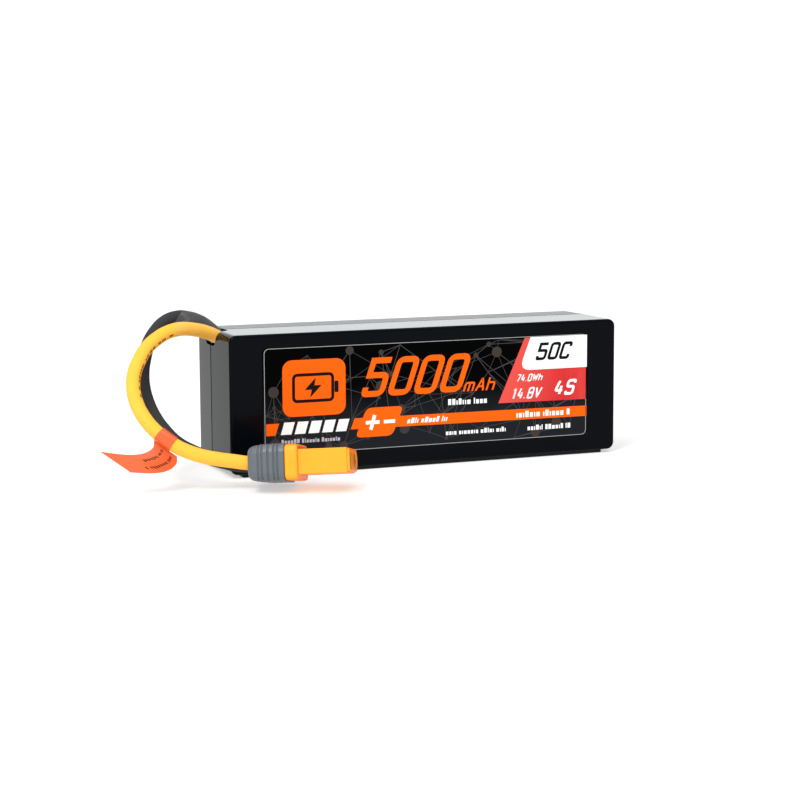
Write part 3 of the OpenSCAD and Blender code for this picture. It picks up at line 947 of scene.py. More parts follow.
@dataclass
class Studio:
    """Camera, floor and soft light."""

    azimuth: float = -22.05
    elevation: float = 7.76
    roll: float = -0.244
    distance: float = 690.3
    target: tuple[float, float, float] = (-3.68, 0.0, 20.04)
    lens: float = 91.23
    sensor: float = 36.0
    floor_reach: float = 9000.0
    sky: float = 0.9
    bands: tuple[tuple[float, float], ...] = (
        (0.0, 1.18), (0.06, 1.18), (0.066, 0.55), (0.09, 0.55), (0.099, 1.3), (0.3, 1.2), (0.42, 0.4),
        (0.75, 0.4), (0.88, 1.7),
    )
    sun: float = 0.75
    sun_width: float = 70.0
    sun_lean: tuple[float, float] = (-14.0, 18.0)
    panel_spot: tuple[float, float, float] = (-560.0, -560.0, 700.0)
    panel_size: tuple[float, float] = (120.0, 420.0)
    panel_power: float = 5.0

    def camera(self) -> None:
        """Makes the camera and gives it to the scene."""
        turn, lift, roll = (math.radians(a) for a in (self.azimuth, self.elevation, self.roll))
        back = Vector((math.sin(turn) * math.cos(lift), -math.cos(turn) * math.cos(lift), math.sin(lift)))
        right = Vector((math.cos(turn), math.sin(turn), 0.0))
        up = back.cross(right)
        rolled = right * math.cos(roll) + up * math.sin(roll)
        made = bpy.data.cameras.new("camera")
        made.lens = self.lens
        made.sensor_width = self.sensor
        made.clip_start = 0.01
        made.clip_end = 100.0
        eye = bpy.data.objects.new("camera", made)
        axes = Matrix((rolled, back.cross(rolled), back)).transposed().to_4x4()
        eye.matrix_world = Matrix.Translation((Vector(self.target) + back * self.distance) * MM) @ axes
        bpy.context.scene.collection.objects.link(eye)
        bpy.context.scene.camera = eye

    def floor(self) -> None:
        """Makes the floor, which isn't part of the object."""
        sheet = Mesh()
        reach = self.floor_reach
        square = ((-1, -1), (1, -1), (1, 1), (-1, 1))
        sheet.face(sheet.add(Vector((x, y, 0)) * reach for x, y in square))
        sheet.build("studio_floor", [FLOOR_WHITE])

    def lights(self) -> None:
        """Makes the sky in bands of brightness, one very soft sun and a narrow panel at the side."""
        scene = bpy.context.scene
        scene.view_settings.view_transform = "Standard"
        scene.world = bpy.data.worlds.new("studio_sky")
        scene.world.use_nodes = True
        tree = scene.world.node_tree
        sky = tree.nodes["Background"]
        spot = tree.nodes.new("ShaderNodeTexCoord")
        parts = tree.nodes.new("ShaderNodeSeparateXYZ")
        ramp = tree.nodes.new("ShaderNodeValToRGB")
        tree.links.new(spot.outputs["Generated"], parts.inputs[0])
        tree.links.new(parts.outputs["Z"], ramp.inputs[0])
        while len(ramp.color_ramp.elements) < len(self.bands):
            ramp.color_ramp.elements.new(0.5)
        for stop, (place, level) in zip(ramp.color_ramp.elements, self.bands):
            stop.position = place
            stop.color = (level / 2, level / 2, level / 2, 1.0)
        tree.links.new(ramp.outputs[0], sky.inputs["Color"])
        sky.inputs["Strength"].default_value = 2 * self.sky
        lamp = bpy.data.lights.new("soft_sun", "SUN")
        lamp.energy = self.sun
        lamp.angle = math.radians(self.sun_width)
        sun = bpy.data.objects.new("soft_sun", lamp)
        sun.rotation_euler = (math.radians(-self.sun_lean[0]), math.radians(-self.sun_lean[1]), 0.0)
        scene.collection.objects.link(sun)
        panel = bpy.data.lights.new("side_panel", "AREA")
        panel.shape = "RECTANGLE"
        panel.size, panel.size_y = (side * MM for side in self.panel_size)
        panel.energy = self.panel_power
        hung = bpy.data.objects.new("side_panel", panel)
        spot = Vector(self.panel_spot)
        hung.matrix_world = Matrix.Translation(spot * MM) @ spot.to_track_quat("Z", "Y").to_matrix().to_4x4()
        scene.collection.objects.link(hung)

    def build(self) -> None:
        """Builds the whole studio apart from the camera."""
        self.floor()
        self.lights()


POSITIVE_ROUTE = [Vector(point) for point in (
    (-60.1, -2.6, 28.2), (-60.2, -2.4, 31.5), (-60.4, -1.8, 35.2), (-62, -0.8, 39.4),
    (-65.2, 0, 42.6), (-68.8, 0.1, 44.8), (-72.6, -0.9, 46.4), (-77, -2.6, 47.5),
    (-81.5, -4.3, 48), (-86.2, -6.2, 47.4), (-90.8, -8.6, 45.6), (-94.9, -11.2, 43),
    (-98.1, -14.3, 39.7), (-100.6, -17.4, 36.1), (-101.9, -20.6, 31.9), (-101.9, -24, 27.7),
    (-100.6, -27.6, 23.5), (-98, -30.8, 19.6), (-95.2, -32.9, 17), (-92.3, -34.6, 14.8),
    (-88.5, -36.1, 12.9), (-84, -37.5, 11.4), (-79.9, -38.5, 10.5), (-75.7, -39.4, 9.8),
    (-71.3, -40.7, 9.1), (-68.2, -42.3, 9.1), (-65.5, -43.8, 9.1))]
NEGATIVE_ROUTE = [Vector(point) for point in (
    (-60.1, 6.2, 28.2), (-60.2, 6.2, 31.5), (-60.4, 6.1, 35.6), (-61.9, 6, 39.8),
    (-64.6, 6, 43.2), (-68, 5.9, 46), (-71.9, 5.4, 48.9), (-76.5, 4.6, 50.6), (-81, 3.4, 51),
    (-85.2, 2, 49.7), (-88.8, 0.2, 47), (-91.8, -2.1, 43.4), (-93.9, -4.7, 39.2),
    (-95.4, -7.6, 34.8), (-95.9, -10.5, 30.3), (-95.5, -13.5, 26), (-94.2, -16.5, 21.7),
    (-91.9, -19.6, 17.6), (-88.7, -22.6, 13.9), (-84.5, -25.3, 11.3), (-79.8, -27.5, 9.3),
    (-75, -29, 7.8), (-70.4, -29.9, 6.7), (-66.2, -31.3, 6.7), (-63.2, -32.9, 6.9),
    (-60.4, -34.4, 7.1))]
TAG_LINE = [Vector(point) for point in (
    (-98.5, -31.2, 16.5), (-98.7, -31.6, 14.8), (-99.6, -31.9, 13.9), (-101.2, -32.1, 13.1),
    (-103.9, -32.1, 12.6), (-107.2, -31.9, 12.7), (-110.8, -31.5, 13.2), (-115.3, -30.7, 14))]


@dataclass
class Leads:
    """The two silicone leads, from the boards inside the case to the connector."""

    diameter: float = 4.5
    fine: int = 12
    print_from: int = 9
    print_to: int = 15
    print_height: float = 0.8
    print_lift: float = 0.015
    print_depth: float = 0.1
    loop_middle: tuple[float, float, float] = (-82.0, -16.0, 27.0)
    towards_eye: tuple[float, float, float] = (-0.37, -0.92, 0.14)

    def lead(
        self, name: str, route: Sequence[Vector], finish: Finish, slot: str, node: str
    ) -> bpy.types.Object:
        """Makes one lead as a round cord along its route.

        Args:
            name: the piece's name.
            route: the points that it follows.
            finish: its rubber.
            slot: the record's name of its material.
            node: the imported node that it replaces.

        Returns:
            The curve.
        """
        line = bpy.data.curves.new(name, "CURVE")
        line.dimensions = "3D"
        line.bevel_depth = self.diameter / 2 * MM
        line.bevel_resolution = 7
        line.resolution_u = 8
        line.use_fill_caps = True
        spline = line.splines.new("BEZIER")
        spline.bezier_points.add(len(route) - 1)
        for knot, point in zip(spline.bezier_points, route):
            knot.co = point * MM
            knot.handle_left_type = "AUTO"
            knot.handle_right_type = "AUTO"
        line.materials.append(finish.material())
        piece = bpy.data.objects.new(name, line)
        bpy.context.scene.collection.objects.link(piece)
        return put(piece, slot, node)

    def marks(self) -> bpy.types.Object:
        """Makes the row of plain printed dashes along the inside of the yellow lead's loop."""
        path = curve_through(POSITIVE_ROUTE, self.fine)
        ink = Mesh()
        chance = random.Random(11)
        radius = self.diameter / 2
        i = self.print_from * self.fine
        while i < self.print_to * self.fine:
            length = chance.choice((2, 3, 3, 4))
            rows = []
            for at in (i, i + length):
                way = heading(path, at)
                inward = (Vector(self.loop_middle) - path[at]).normalized()
                side = inward * 0.7 + Vector(self.towards_eye) * 0.75
                side = (side - way * side.dot(way)).normalized()
                over = way.cross(side)
                turns = [self.print_height / radius * (k / 4 - 0.5) for k in range(5)]
                arc = [side * math.cos(turn) + over * math.sin(turn) for turn in turns]
                for reach in (radius + self.print_lift, radius - self.print_depth):
                    rows.append([path[at] + out * reach for out in arc])
            ink.loft([rows[0] + rows[1][::-1], rows[2] + rows[3][::-1]])
            i += length + chance.choice((1, 1, 2, 4))
        return put(ink.build("lead_print", [PRINT_ON_LEAD]), "yellow_silicone")

    def build(self) -> tuple[bpy.types.Object, bpy.types.Object, bpy.types.Object]:
        """Makes both leads and the print on one of them."""
        positive = self.lead(
            "yellow_lead", POSITIVE_ROUTE, YELLOW_SILICONE, "yellow_silicone", "positive_lead"
        )
        negative = self.lead(
            "black_lead", NEGATIVE_ROUTE, BLACK_SILICONE, "black_silicone", "negative_lead"
        )
        return positive, negative, self.marks()

    def declare(self, lead: bpy.types.Object, route: Sequence[Vector]) -> None:
        """Works out the length of a lead's route in metres and keeps nothing of it.

        Args:
            lead: the lead's curve; not used.
            route: its route.
        """
        path_length(curve_through(route, 6)) * MM


@dataclass
class Sleeve:
    """Clear film round both leads where they leave the case."""

    first: float = 5.0
    lasts: tuple[float, float] = (8.7, 7.5)
    steps: int = 26
    fine: int = 10
    sides: int = 40
    reach: float = 2.52
    film: float = 0.14
    flare: float = 0.35
    slant: float = 0.9

    def ring(self, a: Vector, b: Vector, way: Vector, share: float) -> list[Vector]:
        """Ring round both leads.

        Args:
            a: middle of the yellow lead.
            b: middle of the black lead.
            way: direction of the pair.
            share: 0 at the case and 1 at the free end.

        Returns:
            The ring's points.
        """
        gap = (b - a) - way * (b - a).dot(way)
        side = gap.normalized()
        over = way.cross(side)
        free = max(0.0, share * 4 - 3)
        made = []
        for k in range(self.sides):
            turn = 2 * math.pi * (k + 0.5) / self.sides
            ripple = 0.06 * math.sin(3 * turn + 9 * share) + 0.05 * math.sin(7 * turn - 5 * share)
            reach = self.reach + ripple + self.flare * free**2 * (0.6 + 0.4 * math.sin(turn + 0.6))
            along = way * (free * self.slant * (0.5 * math.cos(turn) + 0.3 * math.sin(2 * turn)))
            middle = b if math.cos(turn) > 0 else a
            made.append(middle + (side * math.cos(turn) + over * math.sin(turn)) * reach + along)
        return made

    def middles(self, route: Sequence[Vector], last: float, shares: Sequence[float]) -> list[Vector]:
        """Middles of one lead inside the sleeve.

        Args:
            route: the lead's route.
            last: the route's point at the sleeve's free end.
            shares: shares of the way from the case to the free end.

        Returns:
            One point for each share.
        """
        path = curve_through(route, self.fine)
        return [path_point(path, (self.first + (last - self.first) * share) * self.fine) for share in shares]

    def build(self) -> bpy.types.Object:
        """Makes the sleeve as a thin film."""
        shares = [k / self.steps for k in range(self.steps + 1)]
        near, far = (
            self.middles(route, last, shares)
            for route, last in zip((POSITIVE_ROUTE, NEGATIVE_ROUTE), self.lasts)
        )
        tube = Mesh()
        tube.loft([
            self.ring(near[i], far[i], (heading(near, i) + heading(far, i)).normalized(), share)
            for i, share in enumerate(shares)
        ], capped=False)
        piece = tube.build("clear_film_sleeve", [CLEAR_FILM, FILM_EDGE], 80.0)
        skin = piece.modifiers.new("film", "SOLIDIFY")
        skin.material_offset_rim = 1
        skin.thickness = self.film * MM
        skin.offset = 0.0
        applied(piece)
        return put(piece, "clear_film", "clear_sleeve")


@dataclass
class Tag:
    """Folded vinyl tag: a band round the yellow lead and a flag that curls away from it."""

    first: float = 17.4
    last: float = 18.75
    gap: float = 0.04
    thickness: float = 0.22
    across_root: tuple[float, float, float] = (6.4, -3.2, -4.9)
    across_tip: tuple[float, float, float] = (8.3, -4.5, -6.3)
    lead_radius: float = 2.25
    bow: float = 0.35
    rows: int = 32
    columns: int = 12
    fine: int = 20
    print_lift: float = 0.02
    bar: tuple[float, float] = (0.024, 0.05)
    bar_heights: tuple[float, ...] = (0.05, 0.05, 0.075)
    bar_steps: tuple[float, ...] = (0.036, 0.04, 0.04, 0.072)
    lines: tuple[tuple[float, float, float], ...] = ((0.34, 0.1, 0.6), (0.72, 0.12, 0.74))

    def surface(self, s: float, t: float, height: float = 0.0) -> Vector:
        """Point of the flag.

        Args:
            s: share of the way from the band to the free end.
            t: share of the way across, 1 at the lower edge.
            height: distance from the middle of the film.

        Returns:
            The point.
        """
        path = curve_through(TAG_LINE, 8)
        at = s * (len(path) - 1)
        i = min(int(at), len(path) - 2)
        spot = path_point(path, at)
        across = Vector(self.across_root).lerp(Vector(self.across_tip), s**2)
        way = heading(path, i).lerp(heading(path, i + 1), at - i).normalized()
        out = way.cross(across).normalized()
        bow = self.bow * math.sin(math.pi * t) * math.sin(math.pi * min(1.0, s * 1.4))
        return spot + across * t + out * (height + bow)

    def flag(self, sheet: Mesh) -> None:
        """Adds the flag as a thin film whose underside is paler."""
        downs = [row / self.rows for row in range(self.rows + 1)]
        sides = [column / self.columns for column in range(self.columns + 1)]
        layers = [
            [sheet.add(self.surface(down, side, height) for side in sides) for down in downs]
            for height in (self.thickness / 2, -self.thickness / 2)
        ]
        for group, layer in enumerate(layers):
            for near, far in zip(layer, layer[1:]):
                sheet.bridge(near, far, False, group)
        top, under = layers
        edges = (
            ([row[0] for row in top], [row[0] for row in under]),
            ([row[-1] for row in top], [row[-1] for row in under]),
            (top[0], under[0]),
            (top[-1], under[-1]),
        )
        for near, far in edges:
            sheet.bridge(near, far, False)

    def band(self, sheet: Mesh) -> None:
        """Adds the band round the lead."""
        path = curve_through(POSITIVE_ROUTE, self.fine)
        span = range(round(self.first * self.fine), round(self.last * self.fine) + 1)
        skin = self.lead_radius + self.gap
        inner, outer = (
            [sheet.add(ring_round(path, i, radius, 40)) for i in span]
            for radius in (skin, skin + self.thickness)
        )
        for stack in (inner, outer):
            for near, far in zip(stack, stack[1:]):
                sheet.bridge(near, far)
        sheet.bridge(inner[0], outer[0])
        sheet.bridge(inner[-1], outer[-1])

    def greeking(self) -> bpy.types.Object:
        """Makes the plain dark bars in two rows on the flag."""
        ink = Mesh()
        chance = random.Random(4)
        high = self.thickness / 2 + self.print_lift
        long, deep = self.bar
        for across, start, end in self.lines:
            s = start
            while s < end:
                upper, lower = across - deep, across + chance.choice(self.bar_heights)
                section = ((upper, high), (lower, high), (lower, 0.0), (upper, 0.0))
                places = (s, s + long / 2, s + long)
                ink.loft([[self.surface(at, t, h) for t, h in section] for at in places])
                s += chance.choice(self.bar_steps)
        return put(ink.build("tag_print", [PRINT_ON_TAG]), "tag_vinyl")

    def build(self) -> list[bpy.types.Object]:
        """Makes the tag and the bars on it."""
        sheet = Mesh()
        self.flag(sheet)
        self.band(sheet)
        piece = sheet.build("lead_flag_tag", [TAG_VINYL, TAG_BACK], 60.0)
        return [put(piece, "tag_vinyl", "lead_tag"), self.greeking()]


@dataclass
class Connector:
    """Two-pole plug: a grooved boot, a collar and a keyed nose, in their own frame along +X."""

    place: tuple[float, float, float] = (-54.2, -43.7, 8.6)
    yaw: float = 28.0
    pitch: float = 3.0
    roll: float = 11.0
    pitch_y: float = 10.9
    collar: tuple[float, float, float] = (4.2, 21.5, 11.2)
    nose: tuple[float, float, float] = (16.0, 19.0, 7.8)
    key: float = 2.2
    lip: float = 0.8
    lip_steps: tuple[Point, ...] = ((-0.12, 0.0), (0.0, 0.12), (0.0, 0.4))
    face_steps: tuple[Point, ...] = ((-0.2, 0.4), (0.0, 0.6), (0.0, 1.15), (-0.25, 1.3))
    boot: tuple[float, float, float] = (11.6, 21.8, 11.9)
    boot_rings: int = 120
    shoulder: float = 1.7
    shoulder_inset: float = 0.8
    taper: tuple[float, float, float] = (5.0, 0.5, 0.95)
    corner: float = 3.0
    grooves: tuple[float, ...] = (2.0, 3.2, 5.0, 6.9, 8.1)
    groove_depth: float = 0.32
    groove_half: float = 0.42
    bore: float = 2.95
    lead_hole: float = 2.6
    lead_hole_end: float = 6.2
    soft_edge: float = 0.3
    collar_edge: float = 0.8
    collar_corner: float = 2.2
    mark: tuple[float, float] = (1.1, 0.16)

    def frame(self) -> Matrix:
        """Where the connector lies."""
        turns = ((-self.yaw, "Z"), (-self.pitch, "Y"), (-self.roll, "X"))
        made = Matrix.Translation(self.place)
        for angle, axis in turns:
            made = made @ Matrix.Rotation(math.radians(angle), 4, axis)
        return made

    def ring(self, x: float, outline: Sequence[Point]) -> list[Vector]:
        """An outline put square to the connector's axis at x."""
        frame = self.frame()
        return [frame @ Vector((x, y, z)) for y, z in outline]

    def rod(self, side: int, radius: float, x0: float, x1: float) -> bpy.types.Object:
        """A cutter along one pole, between two places on the connector's axis."""
        made = Mesh()
        middle = side * self.pitch_y / 2
        turns = [2 * math.pi * k / 48 for k in range(48)]
        circle = [(middle + radius * math.cos(t), radius * math.sin(t)) for t in turns]
        made.loft([self.ring(x0, circle), self.ring(x1, circle)])
        return made.build("cutter", [HOUSING_PLASTIC])

    def nose_outline(self, inset: float) -> list[Point]:
        """Outline of the keyed nose: two cut corners on the far side."""
        _, width, height = self.nose
        kinds = (Corner.CUT, Corner.CUT, Corner.ROUND, Corner.ROUND)
        sizes = (self.key, self.key, self.soft_edge, self.soft_edge)
        return four_cornered(width - 2 * inset, height - 2 * inset, sizes, kinds, 6)

    def housing(self) -> bpy.types.Object:
        """Makes the collar and nose as one moulding with its two bores."""
        deep, width, height = self.collar
        length = self.nose[0]
        soft = self.soft_edge

        def collar_outline(inset: float) -> list[Point]:
            """Outline of the collar, drawn in."""
            return round_rect(width - 2 * inset, height - 2 * inset, self.collar_corner - inset, 6)

        turns = (0.0, 0.39, 0.79, 1.18, 1.57)
        shares = [(1 - math.sin(a), 1 - math.cos(a)) for a in turns]
        rounds = [(self.collar_edge * inset, self.collar_edge * along) for inset, along in shares]
        rings = [self.ring(-deep + along, collar_outline(inset)) for inset, along in rounds]
        rings += [self.ring(-along, collar_outline(inset)) for inset, along in rounds[::-1]]
        rings += [self.ring(soft * along, self.nose_outline(-soft * inset)) for inset, along in shares]
        for start, steps in ((length - self.lip, self.lip_steps), (length, self.face_steps)):
            rings += [self.ring(start + x, self.nose_outline(inset)) for x, inset in steps]
        body = Mesh()
        body.loft(rings)
        piece = body.build("connector_body", [HOUSING_PLASTIC])
        cut_away(piece, [self.rod(side, self.bore, -deep - 1, length + 1) for side in (-1, 1)])
        flatten_normals(piece)
        return put(piece, "amber_plastic", "connector_housing")

    def grooved(self, x: float) -> float:
        """How far the boot's skin is drawn in by its grooves, at a distance behind the collar."""
        near = min(abs(x - groove) for groove in self.grooves)
        share = min(1.0, near / self.groove_half)
        return self.groove_depth * (0.5 + 0.5 * math.cos(math.pi * share))

    def strain_boot(self) -> bpy.types.Object:
        """Makes the boot with its soft grooves, round shoulders and two lead holes."""
        length, width, height = self.boot
        front = -self.collar[0]
        body = Mesh()
        rings = []
        for k in range(self.boot_rings):
            behind = length * (1 - k / (self.boot_rings - 1))
            inset = self.grooved(behind)
            from_back = length - behind
            if from_back < self.shoulder:
                gap = (self.shoulder - from_back) / self.shoulder
                inset += self.shoulder * (1 - math.sqrt(max(0.0, 1 - gap**2))) * self.shoulder_inset
            reach, side, top = self.taper
            lean = max(0.0, 1 - from_back / reach) ** 1.3
            wide, high = width - 2 * (inset + side * lean), height - 2 * (inset + top * lean)
            radius = max(0.4, self.corner - inset * 0.5)
            rings.append(self.ring(front - behind, round_rect(wide, high, radius, 8)))
        body.loft(rings)
        piece = body.build("strain_boot", [BOOT_PLASTIC], 50.0)
        back, end = front - length - 1, front - self.lead_hole_end
        cut_away(piece, [self.rod(side, self.lead_hole, back, end) for side in (-1, 1)], 50.0)
        flatten_normals(piece)
        return put(piece, "grey_plastic", "connector_boot")

    def pole_marks(self) -> bpy.types.Object:
        """Makes the raised plus and minus on the two ends of the collar."""
        marks = Mesh()
        frame = self.frame()
        deep, width, _ = self.collar
        along, across = self.mark, self.mark[::-1]
        for side, bars in ((-1, (along, across)), (1, (across,))):
            for k, (half_x, half_z) in enumerate(bars):
                outline = [(-half_x, -half_z), (half_x, -half_z), (half_x, half_z), (-half_x, half_z)]

                def spot(u: float, v: float, h: float, side: int = side) -> Vector:
                    """Point on the collar's end."""
                    return frame @ Vector((u - deep / 2, side * (width / 2 + h), v))

                marks.prism(outline, spot, -0.1, 0.07 + 0.004 * k)
        return put(marks.build("pole_marks", [HOUSING_PLASTIC]), "amber_plastic")

    def build(self) -> list[bpy.types.Object]:
        """Makes the connector's pieces."""
        return [self.housing(), self.strain_boot(), self.pole_marks()]


@dataclass
class Case:
    """The two moulded shells and the strips that they stand on."""

    length: float = 139.0
    thickness: float = 35.0
    height: float = 45.5
    wall: float = 1.8
    corner: float = 2.6
    edge: float = 1.0
    pad: float = 1.0
    pad_short: float = 9.0
    pad_inset: float = 1.3
    pad_edge: float = 0.15
    pad_sunk: float = 0.35
    seam: float = 3.0
    groove: float = 0.3
    groove_depth: float = 0.4
    soft: float = 0.08
    tongue: float = 1.6
    tongue_wall: float = 0.85
    tongue_play: float = 0.05
    drafts: tuple[float, float] = (0.25, 0.45)
    label: tuple[float, float, float] = (117.3, 35.3, 1.8)
    label_x: float = 0.2
    label_z: float = 24.3
    recess: float = 0.35
    exit_spot: tuple[float, float, float] = (-68.0, 3.2, 44.9)
    exit_tilt: float = 48.0
    exit_size: tuple[float, float] = (7.0, 5.6)

    def ring(self, y: float, inset: float) -> list[Vector]:
        """Outline of the case, drawn in, at a distance along Y."""
        outline = round_rect(
            self.length - 2 * inset, self.height - 2 * inset, max(0.5, self.corner - inset), 8
        )
        middle = self.pad + self.height / 2
        return [Vector((x, y, middle + z)) for x, z in outline]

    def drafted(self, y: float) -> float:
        """How far the outer skin is drawn in by the mould's draft, away from the seam."""
        draft = self.drafts[0] if y < self.seam else self.drafts[1]
        return abs(y - self.seam) * math.tan(math.radians(draft))

    def face(self, side: int) -> list[list[Vector]]:
        """Rings from the label's recess out to the face's round edge.

        Args:
            side: -1 for the printed front, 1 for the rear.

        Returns:
            The rings, from the middle outward.
        """
        y = side * self.thickness / 2
        width, height, radius = self.label

        def label_ring(grow: float, depth: float) -> list[Vector]:
            """Outline of the recess, grown, at a depth under the face."""
            outline = round_rect(width + 2 * grow, height + 2 * grow, radius + grow, 8)
            return [Vector((self.label_x + x, y - side * depth, self.label_z + z)) for x, z in outline]

        rings = [label_ring(0.0, self.recess), label_ring(0.0, 0.1), label_ring(0.1, 0.0)]
        base = self.drafted(y)
        for k in range(7):
            turn = math.radians(90 * k / 6)
            inset = self.edge * (1 - math.sin(turn))
            rings.append(self.ring(y - side * self.edge * (1 - math.cos(turn)), base + inset))
        return rings

    def shell(self, name: str, side: int, steps: Sequence[Point], node: str) -> bpy.types.Object:
        """Makes one shell.

        Args:
            name: the piece's name.
            side: -1 for the front, 1 for the rear.
            steps: y and inset of the rings at the seam, from the outside in.
            node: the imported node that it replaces.

        Returns:
            The shell.
        """
        body = Mesh()
        rings = self.face(side)
        rings += [self.ring(y, inset) for y, inset in steps]
        floor_y = side * (self.thickness / 2 - self.wall)
        rings += [self.ring(floor_y - side * 0.6, self.wall + 0.2), self.ring(floor_y, self.wall + 0.8)]
        body.loft(rings)
        piece = body.build(name, [BLACK_CASE])
        cut_away(piece, [self.opening()])
        flatten_normals(piece)
        return put(piece, "case_plastic", node)

    def seam_steps(self, side: int, play: float) -> list[Point]:
        """Section of the seam's groove and tongue.

        Args:
            side: -1 for the front shell, 1 for the rear.
            play: room that the shell leaves round the tongue.

        Returns:
            Y and inset of each ring, from the outside in.
        """
        edge = self.seam + side * self.groove
        end, inner = self.seam + self.tongue + play, self.wall - self.tongue_wall - play
        return [
            (edge + side * self.soft, 0.0), (edge, self.soft), (edge, self.groove_depth),
            (self.seam, self.groove_depth), (self.seam, inner), (end, inner), (end, self.wall),
        ]

    def opening(self) -> bpy.types.Object:
        """A cutter for the slanting opening that the leads leave through."""
        high, spread = self.exit_size
        outline = [(u, v) for v, u in round_rect(spread + high, high, high / 2 - 0.01, 12)]
        tilt = Matrix.Translation(self.exit_spot) @ Matrix.Rotation(math.radians(-self.exit_tilt), 4, "Y")
        made = Mesh()
        made.loft([[tilt @ Vector((u, v, w)) for u, v in outline] for w in (-10.0, 10.0)])
        return made.build("cutter", [BLACK_CASE])

    def strip(self, name: str, y0: float, y1: float) -> bpy.types.Object:
        """Makes one half of the strip under the case, between two values of y."""
        made = Mesh()
        long, wide = self.length - self.pad_short, y1 - y0
        outline = round_rect(long, wide, 0.4, 4)
        middle = (y0 + y1) / 2
        rings = []
        for inset, z in ((self.pad_edge, 0.0), (0.0, self.pad_edge), (0.0, self.pad + self.pad_sunk)):
            share_x = 1 - 2 * inset / long
            share_y = 1 - 2 * inset / wide
            rings.append([Vector((x * share_x, middle + y * share_y, z)) for x, y in outline])
        made.loft(rings)
        return put(made.build(name, [PAD_RUBBER]), "case_plastic")

    def build(self) -> None:
        """Makes the shells and the strips."""
        self.shell("front_case_shell", -1, self.seam_steps(-1, 0.0), "front_shell")
        self.shell("rear_case_shell", 1, self.seam_steps(1, self.tongue_play), "rear_shell")
        inner = self.thickness / 2 - self.pad_inset
        self.strip("front_resting_strip", -inner, self.seam)
        self.strip("rear_resting_strip", self.seam, inner)


GLYPHS: dict[str, tuple[tuple[bool, tuple[Point, ...]], ...]] = {
    "0": ((True, ((0, 0), (1, 0), (1, 1), (0, 1))),),
    "1": ((False, ((0.2, 0.78), (0.62, 1), (0.62, 0))),),
    "4": ((False, ((0.3, 1), (0, 0.28), (1, 0.28))), (False, ((0.72, 0.62), (0.72, 0)))),
    "5": ((False, (
        (1, 1), (0.2, 1), (0, 1), (0, 0.88), (0, 0.68), (0, 0.56), (0.2, 0.56), (1, 0.56), (1, 0), (0, 0),
        (0, 0.2))),),
    "7": ((False, ((0, 1), (1, 1), (0.4, 0))),),
    "8": ((True, ((0, 0), (1, 0), (1, 1), (0, 1))), (False, ((0, 0.52), (1, 0.52)))),
    "A": ((False, ((0, 0), (0.5, 1), (1, 0))), (False, ((0.2, 0.34), (0.8, 0.34)))),
    "C": ((False, ((1, 0.76), (1, 1), (0, 1), (0, 0), (1, 0), (1, 0.24))),),
    "S": ((False, ((1, 0.8), (1, 1), (0, 1), (0, 0.54), (1, 0.54), (1, 0), (0, 0), (0, 0.2))),),
    "V": ((False, ((0, 1), (0.5, 0), (1, 1))),),
    "W": ((False, ((0, 1), (0.22, 0), (0.5, 0.8), (0.78, 0), (1, 1))),),
    "h": ((False, ((0, 1), (0, 0))), (False, ((0, 0.62), (1, 0.62), (1, 0)))),
    "m": ((False, ((0, 0), (0, 0.66), (1, 0.66), (1, 0))), (False, ((0.5, 0.66), (0.5, 0)))),
    ".": ((False, ((0, 0), (0, 0.06))),),
}
NARROW = {".": 0.12, "1": 0.75, "m": 1.35, "W": 1.5, "V": 1.15, "A": 1.2}


